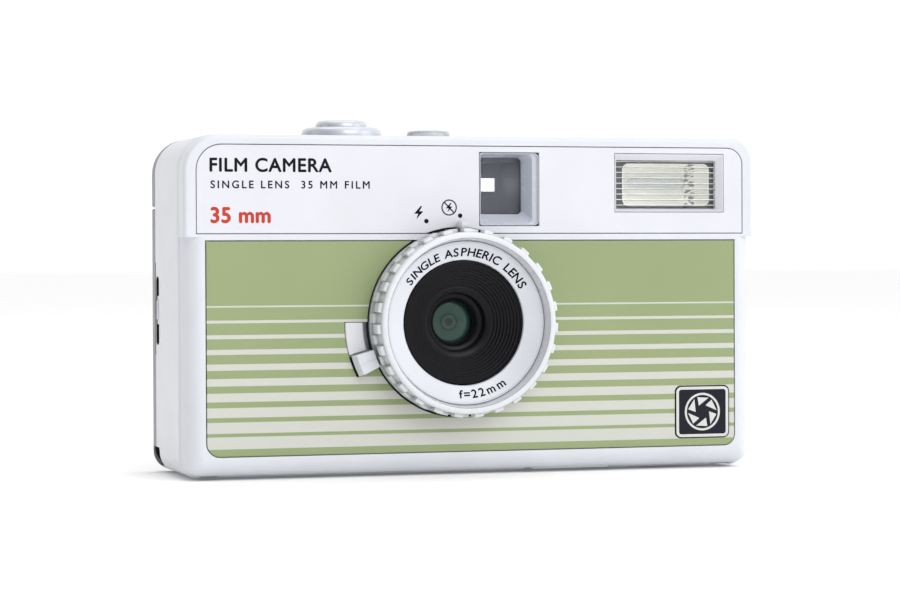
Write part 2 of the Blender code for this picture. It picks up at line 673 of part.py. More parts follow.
def build_bottom(look):
    cx, cd = CARTRIDGE
    sx, sd = SPROCKET
    disc = place("rewind_disc", rod(CARTRIDGE, 9.0, 0.5, 2.8, "Z", 48), look["grey"], (cx, at(cd), 0.0))
    cut(disc, brick(cx - 7.6, cx + 7.6, cd - 2.9, cd + 2.9, -1, 2.0))
    join(disc, rod(CARTRIDGE, 2.3, 2.5, 4.6, "Z", 20))
    fork = place("rewind_fork", rod(CARTRIDGE, 2.2, 5.0, 9.0, "Z", 20), look["dark"], (cx, at(cd), 0.0))
    cut(fork, brick(cx - 3, cx + 3, cd - 0.6, cd + 0.6, 6.0, 10))
    arm = slab(outline(cx - 7.2, cx + 7.0, cd - 2.5, cd + 2.5, (2.4, 0, 0, 2.4)), 0.25, 1.6)
    crank = place("rewind_arm", arm, look["silver"], (cx + 6.4, at(cd), 0.95))
    cut(crank, rod((cx - 4.4, cd), 1.9, -1, 3, "Z", 24))
    knob = [(1.6, 0.3), (1.6, 1.7), (1.2, 1.7), (1.2, 0.3)]
    place("rewind_knob", turned(knob, (cx - 4.4, cd), "Z", 20, True), look["dark"])
    release = [(2.2, 0.35), (2.2, 3.4), (1.2, 3.4), (1.2, 4.2)]
    place("rewind_release", turned(release, SPROCKET, "Z", 20), look["silver"], (sx, at(sd), 0.0))
    socket = place("tripod_socket", rod(TRIPOD, 4.8, 0.25, 8.9, "Z", 28), look["brass"])
    cut(socket, rod(TRIPOD, 3.15, -1, 6.2, "Z", 24))
    bx, bd = BATTERY
    lid = slab(outline(bx - 7.8, bx + 8.0, bd - 6.3, bd + 6.3, (1, 1, 1, 1)), 0.2, 1.4)
    place("battery_door", lid, look["white"], (bx - 7.3, at(bd), 0.8))
    spring = [(2.6, 1.7), (2.6, 1.95), (1.2, 3.4), (1.2, 3.6), (0.6, 3.6), (0.6, 1.7)]
    place("battery_spring", turned(spring[::-1], BATTERY, "Z", 20), look["steel"])
    place("battery_contact", rod(BATTERY, 4.6, 47.7, 48.1, "Z", 24), look["steel"])
    for number, spot in enumerate(SCREWS, 1):
        body = [(0.9, 5.8), (0.9, 0.65), (1.7, 0.62), (1.7, 0.25)]
        screw = place(f"screw_{number}", turned(body, spot, "Z", 16), look["steel"])
        cut(screw, brick(spot[0] - 1.2, spot[0] + 1.2, spot[1] - 0.25, spot[1] + 0.25, 0, 0.48))


def main():
    clear_scene()
    look = materials()
    build_front_cover(look)
    build_panels(look)
    build_chassis(look)
    build_rear(look)
    build_latch(look)
    build_finder(look)
    build_flash(look)
    build_lens(look)
    build_filter(look)
    build_controls(look)
    build_film_transport(look)
    build_bottom(look)


main()
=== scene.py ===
"""Looks for the half frame camera: finer shells, lens, controls and printed marks around the CAD frame.

Lengths are in millimetres until a body becomes an object. A depth counts backwards from the front face.
"""

import json
from math import atan2, cos, degrees, pi, radians, sin, sqrt, tan

import bmesh
import bpy
from mathutils import Matrix, Vector


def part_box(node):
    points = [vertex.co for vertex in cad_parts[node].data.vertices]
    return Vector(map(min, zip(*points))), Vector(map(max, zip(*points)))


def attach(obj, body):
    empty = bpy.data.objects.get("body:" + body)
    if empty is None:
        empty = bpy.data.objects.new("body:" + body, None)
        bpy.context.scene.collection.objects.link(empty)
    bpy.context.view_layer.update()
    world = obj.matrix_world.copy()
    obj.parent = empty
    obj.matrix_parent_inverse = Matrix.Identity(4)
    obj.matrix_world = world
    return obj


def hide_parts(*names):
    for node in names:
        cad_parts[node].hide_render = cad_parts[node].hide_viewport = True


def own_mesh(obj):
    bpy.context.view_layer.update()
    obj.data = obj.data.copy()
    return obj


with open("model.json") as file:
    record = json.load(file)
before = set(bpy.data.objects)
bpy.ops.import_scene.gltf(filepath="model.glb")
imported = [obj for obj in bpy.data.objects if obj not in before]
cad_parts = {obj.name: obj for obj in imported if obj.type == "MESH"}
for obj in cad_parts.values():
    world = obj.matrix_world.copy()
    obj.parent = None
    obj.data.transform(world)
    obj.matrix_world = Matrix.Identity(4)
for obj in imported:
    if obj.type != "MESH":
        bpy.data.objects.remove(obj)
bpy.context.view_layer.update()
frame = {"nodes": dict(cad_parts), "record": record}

MM = 0.001
FRONT_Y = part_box("front_cover")[0][1]
ROUND = 96
TEETH = 27


def depth_of(y):
    return (y - FRONT_Y) / MM


def span(node):
    """(left, right, front depth, rear depth, bottom, top) of a CAD node, in millimetres."""
    low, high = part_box(node)
    return (low[0] / MM, high[0] / MM, depth_of(low[1]), depth_of(high[1]), low[2] / MM, high[2] / MM)


def middle(node):
    x0, x1, d0, d1, z0, z1 = span(node)
    return ((x0 + x1) / 2, (d0 + d1) / 2, (z0 + z1) / 2)


def rectangle(node):
    x0, x1, _, _, z0, z1 = span(node)
    return (x0, x1, z0, z1)


LENS = (middle("lens_face")[0], middle("lens_face")[2])
BUTTON = middle("shutter_button")[:2]
COUNTER = middle("counter_window")[:2]
DIAL = middle("counter_dial")[:2]
WHEEL = middle("take_up_spool")[:2]
SPROCKET = middle("sprocket")[:2]
CARTRIDGE = middle("rewind_disc")[:2]
TRIPOD = middle("tripod_socket")[:2]
BATTERY = middle("battery_contact")[:2]
LID_SWING_ROOM = 0.55
HINGE = middle("hinge_pin")[:2]
BODY = rectangle("front_cover")
FACE = rectangle("faceplate")
SHEET = rectangle("striped_sheet")
BADGE = rectangle("badge")
FINDER = rectangle("finder_frame")
SCREWS = [middle(f"screw_{number}")[:2] for number in (1, 2, 3, 4)]
CORNERS = (6.6, 4.3, 3.0, 3.6)
FACE_CORNERS = (4.6, 3.0, 0.0, 0.0)
SHEET_HOLE = 17.4
STEP_Z = 43.4
RIB_PITCH = 1.02
STRIPES = 10
STRIPE_TOP = 31.1
STRIPE_PITCH = 2.614
FIRST_STRIPE = 0.29
STRIPE_GROWTH = 0.212
WALL = 1.5
FRONT_WALL_BACK = 2.2
FLOOR_CUT = (-2, 2.1)
TOP_CUT = (59, 66)
REAR_SEAM = 26.15
REAR_LINE = 28.3
BACK_DEPTH = 30.0
BACK_ROUND = 1.3
KNUCKLES = ((7.0, 18.6), (31.4, 43.0))
RING_BASE = 16.55
RING_TIP = 17.2
RING_FRONT = 6.45
RING_ROUND = 0.55
FUNNEL_RIDGES = 9
FLASH_RIBS = 9
WHEEL_TEETH = 60
SPROCKET_TEETH = 7
SPROCKET_ROWS = (13.6, 41.8)
SPRING_TURNS = 4
SPRING_FOOT = 57.95
SPRING_RISE = 2.05
SPRING_RADIUS = 3.1
WIRE_RADIUS = 0.22
THREADS = 11
SIZE_PER_HEIGHT = 1.43
FLOOR_Z = -0.0004
DIAL_COUNT = 80


# ---------------------------------------------------------------- mesh helpers


def at(depth):
    return FRONT_Y / MM + depth


def loft(loops, closed=False, caps=True):
    """A skin over loops of equally many points, capped at both ends or closed on itself."""
    made = bmesh.new()
    rows = [[made.verts.new(point) for point in loop] for loop in loops]
    count = len(rows[0])
    for i in range(len(rows) if closed else len(rows) - 1):
        low = rows[i]
        high = rows[(i + 1) % len(rows)]
        for j in range(count):
            k = (j + 1) % count
            made.faces.new((low[j], low[k], high[k], high[j]))
    if caps and not closed:
        made.faces.new(rows[0])
        made.faces.new(rows[-1])
    bmesh.ops.recalc_face_normals(made, faces=made.faces[:])
    return made


def outline(x0, x1, z0, z1, radii=(0, 0, 0, 0), steps=10, breaks=()):
    """A rectangle with corner radii in the order top left, top right, bottom right, bottom left.

    Breaks are heights at which both upright sides get one more point.
    """
    tl, tr, br, bl = radii
    corners = (
        (x0, z1, 1, -1, tl, 180), (x1, z1, -1, -1, tr, 90),
        (x1, z0, -1, 1, br, 0), (x0, z0, 1, 1, bl, 270),
    )
    points = []
    for number, (cx, cz, sx, sz, radius, start) in enumerate(corners):
        if number == 0:
            points += [(x0, height) for height in sorted(breaks)]
        if number == 2:
            points += [(x1, height) for height in sorted(breaks, reverse=True)]
        if radius <= 0.01:
            points.append((cx, cz))
            continue
        for step in range(steps + 1):
            angle = radians(start - 90.0 * step / steps)
            across, up = sx + cos(angle), sz + sin(angle)
            points.append((cx + radius * across, cz + radius * up))
    return points


def grown(box, by):
    return (box[0] - by, box[1] + by, box[2] - by, box[3] + by)


def shrunk(radii, by):
    return [max(radius - by, 0.2) if radius > 0 else 0.0 for radius in radii]


def facing(points, depth):
    return [(x, at(depth), z) for x, z in points]


def level(points, z):
    return [(x, at(d), z) for x, d in points]


def prism(points, d0, d1):
    return loft([facing(points, d0), facing(points, d1)])


def slab(points, z0, z1):
    return loft([level(points, z0), level(points, z1)])


def brick(x0, x1, d0, d1, z0, z1):
    return prism(outline(x0, x1, z0, z1), d0, d1)


def plate(box, d0, d1, radii=(0, 0, 0, 0)):
    return prism(outline(*box, radii), d0, d1)


def turned(profile, centre, axis="Z", count=ROUND, closed=False):
    """A body turned about an axis. The profile holds (radius, position along the axis)."""
    loops = []
    for radius, along in profile:
        loop = []
        for i in range(count):
            angle = 2 * pi * i / count
            a = radius * cos(angle)
            b = radius * sin(angle)
            if axis == "Z":
                loop.append((centre[0] + a, at(centre[1]) + b, along))
            elif axis == "Y":
                loop.append((centre[0] + a, at(along), centre[1] + b))
            else:
                loop.append((along, at(centre[0]) + a, centre[1] + b))
        loops.append(loop)
    return loft(loops, closed)


def rod(centre, radius, start, end, axis="Z", count=48):
    return turned([(radius, start), (radius, end)], centre, axis, count)


def arc_points(r0, r1, a0, a1, steps=16):
    """The outline of a piece of a ring about the lens. Angles count down from the left."""
    points = []
    for radius, first, last in ((r1, a0, a1), (r0, a1, a0)):
        for step in range(steps + 1):
            angle = radians(first + (last - first) * step / steps)
            points.append((LENS[0] - radius * cos(angle), LENS[1] - radius * sin(angle)))
    return points


def sector(r0, r1, a0, a1, d0, d1, steps=16):
    return prism(arc_points(r0, r1, a0, a1, steps), d0, d1)


def merged(bodies):
    whole = bmesh.new()
    for body in bodies:
        part = bpy.data.meshes.new("part")
        body.to_mesh(part)
        body.free()
        whole.from_mesh(part)
        bpy.data.meshes.remove(part)
    return whole


def placed(name, data):
    made = bpy.data.objects.new(name, data)
    bpy.context.scene.collection.objects.link(made)
    return made


def raw_object(name, body):
    bmesh.ops.scale(body, verts=body.verts[:], vec=(MM, MM, MM))
    mesh = bpy.data.meshes.new(name)
    body.to_mesh(mesh)
    body.free()
    return placed(name, mesh)


def bake(obj):
    """Replaces the object's mesh with what its modifiers make of it."""
    bpy.context.view_layer.update()
    evaluated = obj.evaluated_get(bpy.context.evaluated_depsgraph_get())
    mesh = bpy.data.meshes.new_from_object(evaluated)
    obj.modifiers.clear()
    old = obj.data
    obj.data = mesh
    bpy.data.meshes.remove(old)


def change(obj, body, operation):
    """Cuts a body from an object, or joins it on."""
    tool = raw_object("tool", body)
    boolean = obj.modifiers.new(operation, "BOOLEAN")
    boolean.operation = operation
    boolean.solver = "EXACT"
    boolean.object = tool
    bake(obj)
    bpy.data.objects.remove(tool, do_unlink=True)


def carved(body, cuts=(), joins=()):
    """The body with others cut away and then joined on, still in millimetres."""
    made = raw_object("carved", body)
    for extra in cuts:
        change(made, extra, "DIFFERENCE")
    for extra in joins:
        change(made, extra, "UNION")
    result = bmesh.new()
    result.from_mesh(made.data)
    bmesh.ops.scale(result, verts=result.verts[:], vec=(1 / MM, 1 / MM, 1 / MM))
    bpy.data.objects.remove(made, do_unlink=True)
    return result


def piece(
    name, body, look, nodes=(), cuts=(), ride="camera", joins=(), bevel=0.1, sharp=32, segments=2,
):
    """A finished piece: cut, joined, its edges softened, shaded, painted and tied to its body.

    It stands for the CAD nodes it names and hides them.
    """
    made = raw_object(name, body)
    for extra in joins:
        change(made, extra, "UNION")
    for extra in cuts:
        change(made, extra, "DIFFERENCE")
    if bevel:
        soften = made.modifiers.new("soften", "BEVEL")
        soften.width = bevel * MM
        soften.segments = segments
        soften.limit_method = "ANGLE"
        soften.angle_limit = radians(sharp)
        soften.use_clamp_overlap = True
        soften.harden_normals = False
        bake(made)
    made.data.polygons.foreach_set("use_smooth", [True] * len(made.data.polygons))
    made.data.set_sharp_from_angle(angle=radians(40 if bevel else sharp))
    weigh = made.modifiers.new("flat faces", "WEIGHTED_NORMAL")
    weigh.keep_sharp = True
    bake(made)
    made.data.materials.clear()
    made.data.materials.append(LOOK[look])
    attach(made, ride)
    if nodes:
        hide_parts(*nodes)
    return made


def lathe(name, profile, centre, axis, count, look, nodes=(), closed=False, **how):
    """A turned piece that keeps the edges of its profile."""
    piece(name, turned(profile, centre, axis, count, closed), look, nodes, bevel=0, **how)


# ---------------------------------------------------------------- materials


class Nodes:
    """A node tree put together one socket at a time."""

    def __init__(self, tree):
        self.tree = tree

    def node(self, kind, **settings):
        made = self.tree.nodes.new(kind)
        for key, value in settings.items():
            setattr(made, key, value)
        return made

    def link(self, output, target):
        self.tree.links.new(output, target)
        return self

    def plug(self, values, sockets):
        for value, socket in zip(values, sockets):
            if isinstance(value, bpy.types.NodeSocket):
                self.link(value, socket)
            else:
                socket.default_value = value

    def feed(self, made, **values):
        """Sets or links a node's inputs by name, an underscore standing for a space."""
        self.plug(values.values(), [made.inputs[key.replace("_", " ")] for key in values])
        return made

    def spread(self, source, low, high, start=0.3, end=0.7):
        made = self.node("ShaderNodeMapRange")
        self.feed(made, From_Min=start, From_Max=end, To_Min=low, To_Max=high, Value=source)
        return made.outputs["Result"]


class Shader(Nodes):
    """A node material."""

    def __init__(self, name):
        self.material = bpy.data.materials.new(name)
        self.material.use_nodes = True
        super().__init__(self.material.node_tree)
        self.main = self.tree.nodes["Principled BSDF"]
        self.place = self.node("ShaderNodeTexCoord").outputs["Object"]

    def fix(self, **values):
        self.feed(self.main, **values)
        return self

    def noise(self, scale, detail=3.0, roughness=0.5, stretch=None):
        where = self.place
        if stretch:
            where = self.feed(self.node("ShaderNodeMapping"), Scale=stretch, Vector=where).outputs["Vector"]
        made = self.node("ShaderNodeTexNoise")
        self.feed(made, Scale=scale, Detail=detail, Roughness=roughness, Vector=where)
        return made.outputs["Fac"]

    def cloud(self, scale, detail=3.0):
        return self.spread(self.noise(scale, detail), 0.0, 1.0)

    def mix(self, factor, first, second):
        made = self.node("ShaderNodeMix", data_type="RGBA")
        self.plug((factor, first, second), (made.inputs[0], made.inputs[6], made.inputs[7]))
        return made.outputs[2]

    def maths(self, operation, first, second=0.0, third=0.0):
        made = self.node("ShaderNodeMath", operation=operation)
        self.plug((first, second, third), made.inputs)
        return made.outputs[0]

    def axes(self):
        made = self.node("ShaderNodeSeparateXYZ")
        self.link(self.place, made.inputs[0])
        return made.outputs

    def colour(self, output):
        return self.fix(Base_Color=output)

    def rough(self, output):
        return self.fix(Roughness=output)

    def bump(self, output, strength=0.1, distance=0.0001):
        made = self.feed(self.node("ShaderNodeBump"), Strength=strength, Distance=distance, Height=output)
        return self.fix(Normal=made.outputs["Normal"])

    def show_through(self, share, rgb):
        """Mixes the surface with a clear one. Share is how much of the surface stays."""
        see = self.feed(self.node("ShaderNodeBsdfTransparent"), Color=(*rgb, 1.0))
        mixer = self.node("ShaderNodeMixShader")
        self.plug((share, see.outputs[0], self.main.outputs[0]), mixer.inputs)
        out = next(node for node in self.tree.nodes if node.type == "OUTPUT_MATERIAL")
        return self.link(mixer.outputs[0], out.inputs["Surface"])


def tint(rgb, factor=1.0):
    return (rgb[0] * factor, rgb[1] * factor, rgb[2] * factor, 1.0)


def moulded(name, rgb, rough, grain=1800.0, bump=0.05, coat=0.0, vary=0.03, metal=0.0, shine=0.5, painted_glow=0.0):
    """Moulded plastic or paint: a faint cloud in the colour, a fine texture, an uneven gloss and, where
    asked, a painted glow.
    """
    made = Shader(name)
    cloud = made.cloud(90.0, 2.0)
    made.colour(made.mix(cloud, tint(rgb, 1.0 - vary), tint(rgb, 1.0 + vary * 0.3)))
    made.rough(made.spread(made.noise(260.0, 4.0), rough - 0.04, rough + 0.04))
    made.bump(made.noise(grain, 2.0, 0.6), bump, 0.00005)
    made.fix(Coat_Weight=coat, Coat_Roughness=0.12, Metallic=metal, Specular_IOR_Level=shine)
    # Painted light: emission makes the part glow though it is no lamp.
    if painted_glow:
        made.fix(Emission_Color=(*rgb, 1.0), Emission_Strength=painted_glow)
    return made.material


def metal(name, rgb, rough, stretch=(40.0, 900.0, 900.0), bump=0.06):
    """Metal with fine drawn lines."""
    made = Shader(name)
    lines = made.noise(3.0, 5.0, 0.6, stretch)
    made.colour(made.mix(made.spread(lines, 0.0, 1.0), tint(rgb, 0.82), tint(rgb, 1.05)))
    made.rough(made.spread(lines, rough - 0.07, rough + 0.1))
    made.bump(lines, bump, 0.00004)
    made.fix(Metallic=1.0)
    return made.material


def striped():
    """Printed sheet: ten pale stripes that thicken downwards over green, under a satin film."""
    made = Shader("striped_sheet")
    height = made.maths("MULTIPLY", made.axes()[2], 1.0 / MM)
    below = made.maths("SUBTRACT", STRIPE_TOP, height)
    count = made.maths("FLOOR", made.maths("DIVIDE", below, STRIPE_PITCH))
    within = made.maths("SUBTRACT", below, made.maths("MULTIPLY", count, STRIPE_PITCH))
    thick = made.maths("MULTIPLY_ADD", count, STRIPE_GROWTH, FIRST_STRIPE)
    inside = made.maths("LESS_THAN", within, thick)
    started = made.maths("GREATER_THAN", below, 0.0)
    not_ended = made.maths("LESS_THAN", count, STRIPES - 0.5)
    stripe = made.maths("MULTIPLY", made.maths("MULTIPLY", inside, started), not_ended)
    ink = made.noise(5200.0, 2.0, 0.7)
    green = made.mix(made.cloud(35.0, 2.0), (0.252, 0.312, 0.142, 1.0), (0.272, 0.334, 0.156, 1.0))
    pale = made.mix(made.spread(ink, 0.0, 1.0), (0.535, 0.545, 0.495, 1.0), (0.575, 0.585, 0.53, 1.0))
    made.colour(made.mix(stripe, green, pale))
    made.rough(made.spread(made.noise(420.0, 3.0), 0.34, 0.42))
    made.bump(ink, 0.03, 0.00003)
    made.fix(Coat_Weight=0.25, Coat_Roughness=0.25)
    return made.material


def clear(name, rgb, shine=0.05, veil=0.12):
    """Clear moulding: mostly see-through, with a bright glancing sheen and faint flow marks."""
    made = Shader(name)
    made.fix(Roughness=shine, IOR=1.49, Coat_Weight=0.3)
    made.colour(made.mix(made.cloud(150.0, 2.0), tint(rgb, 0.94), tint(rgb)))
    made.bump(made.noise(220.0, 1.0), 0.02, 0.00004)
    edge = made.feed(made.node("ShaderNodeLayerWeight"), Blend=0.25)
    amount = made.maths("MULTIPLY_ADD", edge.outputs["Fresnel"], 0.7, veil)
    made.show_through(amount, (0.96, 0.97, 0.98))
    return made.material


def hollow_white():
    """Glossy white with painted shade and a painted reflection: it turns grey-green where the surface is
    hemmed in, as between the pads of the ring.
    """
    made = Shader("ring_white_painted_shade")
    painted_shade_occlusion = made.feed(made.node("ShaderNodeAmbientOcclusion", samples=8), Distance=1.1 * MM)
    cloud = made.cloud(90.0, 2.0)
    white = made.mix(cloud, (0.66, 0.67, 0.71, 1.0), (0.685, 0.70, 0.74, 1.0))
    share = made.spread(painted_shade_occlusion.outputs["AO"], 0.0, 1.0, 0.45, 0.95)
    # Painted shade: an occlusion test mixes the white towards grey-green, the green standing for the sheet
    # reflected into the hollows.
    made.colour(made.mix(share, (0.25, 0.27, 0.25, 1.0), white))
    made.rough(made.spread(made.noise(260.0, 4.0), 0.24, 0.32))
    made.bump(made.noise(1800.0, 2.0, 0.6), 0.04, 0.00005)
    made.fix(Coat_Weight=0.3, Coat_Roughness=0.1)
    return made.material


def ribbed_clear():
    """Clear moulding with ribs across it: each rib gets a painted highlight line, with a fine painted shade
    line beside it.
    """
    made = Shader("flash_clear")
    x0, x1, z0, z1 = rectangle("flash_window")
    height = made.maths("MULTIPLY", made.maths("SUBTRACT", made.axes()[2], z0 * MM), 1.0 / (MM * RIB_PITCH))
    within = made.maths("FRACT", height)
    wave = made.noise(1.0, 2.0, 0.5, (60.0, 1.0, 900.0))
    wide = made.spread(wave, 0.05, 0.16)
    # Painted highlight: a bright line on each rib, standing for the light the rib bends.
    painted_rib_highlight = made.maths("LESS_THAN", within, wide)
    # Painted shade: a fine dark line beside each rib; darker swirled patches near the right end join it.
    dark = made.maths("MULTIPLY", made.maths("GREATER_THAN", within, 0.87), 0.55)
    across = made.maths("MULTIPLY", made.maths("SUBTRACT", made.axes()[0], x0 * MM), 1.0 / (MM * (x1 - x0)))
    near_end = made.maths("COMPARE", across, 0.715, 0.045)
    swirl = made.noise(1.0, 3.0, 0.6, (900.0, 1.0, 1700.0))
    blot = made.maths("MULTIPLY", near_end, made.maths("GREATER_THAN", swirl, 0.53))
    dark = made.maths("MAXIMUM", dark, blot)
    lines = made.maths("MAXIMUM", painted_rib_highlight, dark)
    # The painted highlight lines are near white; the painted shade lines and patches are near black.
    made.colour(made.mix(painted_rib_highlight, (0.09, 0.10, 0.11, 1.0), (0.93, 0.94, 0.93, 1.0)))
    made.rough(made.spread(made.noise(300.0, 2.0), 0.08, 0.16))
    made.fix(IOR=1.49, Specular_IOR_Level=0.4)
    made.show_through(made.maths("MULTIPLY_ADD", lines, 0.55, 0.03), (0.985, 0.985, 0.98))
    return made.material


def coated_lens():
    """A small coated element: dark green, brighter rings about its axis and a dark stop in the middle."""
    made = Shader("coated_lens")
    axes = made.axes()
    across = made.maths("SUBTRACT", axes[0], (LENS[0] - 0.55) * MM)
    up = made.maths("SUBTRACT", axes[2], LENS[1] * MM)
    square = made.maths("ADD", made.maths("POWER", across, 2.0), made.maths("POWER", up, 2.0))
    radius = made.maths("MULTIPLY", made.maths("SQRT", square), 1.0 / MM)
    ramp = made.node("ShaderNodeValToRGB")
    made.link(made.maths("DIVIDE", radius, 4.4), ramp.inputs[0])
    stops = (
        (0.0, (0.012, 0.026, 0.024)),
        (0.16, (0.014, 0.030, 0.027)),
        (0.19, (0.034, 0.066, 0.056)),
        (0.29, (0.030, 0.060, 0.052)),
        (0.33, (0.008, 0.018, 0.016)),
        (0.40, (0.026, 0.056, 0.046)),
        (0.74, (0.034, 0.080, 0.062)),
        (1.0, (0.006, 0.016, 0.014)),
    )
    elements = ramp.color_ramp.elements
    elements[0].position, elements[0].color = stops[0][0], (*stops[0][1], 1.0)
    elements[1].position, elements[1].color = stops[-1][0], (*stops[-1][1], 1.0)
    for position, rgb in stops[1:-1]:
        elements.new(position).color = (*rgb, 1.0)
    made.colour(ramp.outputs["Color"])
    made.rough(made.spread(made.noise(300.0, 2.0), 0.03, 0.07))
    made.fix(Specular_IOR_Level=0.3, IOR=1.5)
    return made.material


def board_green():
    """Solder mask over faint copper tracks."""
    made = Shader("circuit_board")
    tracks = made.node("ShaderNodeTexBrick")
    made.feed(tracks, Scale=260.0, Mortar_Size=0.03, Vector=made.place)
    made.colour(made.mix(tracks.outputs["Fac"], (0.02, 0.13, 0.06, 1.0), (0.06, 0.26, 0.12, 1.0)))
    made.rough(made.spread(made.noise(400.0), 0.3, 0.45))
    made.bump(tracks.outputs["Fac"], 0.2, 0.00005)
    return made.material


def finder_light():
    """Painted light: a glowing patch that stands for the bright field seen through the finder, though it is
    no lamp.
    """
    made = Shader("finder_light")
    made.colour(made.mix(made.cloud(300.0), (0.9, 0.9, 0.9, 1.0), (0.96, 0.97, 0.98, 1.0)))
    made.fix(Roughness=0.4, Emission_Color=(1.0, 1.0, 1.0, 1.0), Emission_Strength=1.6)
    return made.material


LOOK = {
    "white": moulded("white_shell", (0.665, 0.68, 0.725), 0.36, coat=0.15),
    "ring": hollow_white(),
    "face": moulded("faceplate_white", (0.685, 0.685, 0.735), 0.45, grain=2600.0, bump=0.04),
    "sheet": striped(),
    "badge": moulded("badge_black", (0.010, 0.013, 0.019), 0.3, vary=0.1, shine=0.15),
    "dark": moulded("black_inside", (0.014, 0.014, 0.016), 0.58, bump=0.12, vary=0.1, shine=0.2),
    "tunnel": moulded("finder_inside", (0.17, 0.175, 0.21), 0.5, vary=0.15),
    "grey": moulded("rear_grey", (0.255, 0.265, 0.26), 0.46, grain=1500.0, bump=0.14, vary=0.05),
    "silver": moulded("silver_paint", (0.62, 0.64, 0.69), 0.28, coat=0.2, metal=0.35),
    "button": moulded("button_silver", (0.60, 0.62, 0.68), 0.3, coat=0.25, metal=0.35),
    "steel": metal("bright_steel", (0.62, 0.62, 0.64), 0.28),
    "brass": metal("plain_brass", (0.72, 0.53, 0.25), 0.3),
    "clear": clear("clear_window", (0.86, 0.9, 0.93)),
    "frosted": clear("counter_window", (0.70, 0.72, 0.77), 0.12, 0.6),
    "ribbed": ribbed_clear(),
    "finder_glass": clear("finder_glass", (0.42, 0.43, 0.50), 0.04, 0.14),
    "lens": coated_lens(),
    # The reflector gets a painted glow, a little emission that brightens it though it is no lamp.
    "cream": moulded("reflector_cream", (0.93, 0.93, 0.885), 0.24, coat=0.3, bump=0.02, painted_glow=0.1),
    "shadow": moulded("flash_surround", (0.115, 0.125, 0.135), 0.35, coat=0.3),
    "funnel": moulded("funnel_black", (0.0075, 0.0075, 0.010), 0.3, bump=0.03, vary=0.15, shine=0.13),
    "board": board_green(),
    "bezel": moulded("finder_bezel", (0.53, 0.555, 0.625), 0.26, coat=0.3),
    "ink": moulded("black_ink", (0.006, 0.006, 0.008), 0.5, vary=0.2, shine=0.1),
    "red": moulded("red_ink", (0.50, 0.045, 0.026), 0.45, vary=0.08, shine=0.2),
    "pale": moulded("pale_print", (0.62, 0.62, 0.61), 0.45),
    "finder_light": finder_light(),
}
# The first look of each slot is the one its CAD nodes wear.
SLOT_LOOKS = {
    "white_shell": ("white", "ring"),
    "faceplate_white": ("face",),
    "green_sheet": ("sheet",),
    "badge_black": ("badge",),
    "black_inside": ("dark", "tunnel", "shadow"),
    "rear_grey": ("grey",),
    "silver_trim": ("silver", "button"),
    "steel": ("steel",),
    "brass_insert": ("brass",),
    "clear_window": ("clear", "frosted", "ribbed", "finder_glass", "finder_light"),
    "lens_glass": ("lens",),
    "reflector_cream": ("cream",),
    "funnel_black": ("funnel",),
    "circuit_green": ("board",),
    "finder_bezel": ("bezel",),
}
for part in frame["record"]["subparts"]:
    for used in frame["nodes"][part["node"]].material_slots:
        used.material = LOOK[SLOT_LOOKS[part["material_slot"]][0]]
frame["nodes"]["finder_tunnel"].material_slots[0].material = LOOK["tunnel"]


# ---------------------------------------------------------------- body shells


def soft_box(inset_upper, inset_lower, upper, lower):
    """One loop of the shell: above the step it follows the crisp edge, below it the soft one."""
    points = []
    high, low = (
        outline(*grown(BODY, -inset), shrunk(CORNERS, inset), 12, (STEP_Z + 0.04, STEP_Z - 0.04))
        for inset in (inset_upper, inset_lower)
    )
    for first, second in zip(high, low):
        x, z = first if first[1] > STEP_Z else second
        points.append((x, at(upper if first[1] > STEP_Z else lower), z))
    return points


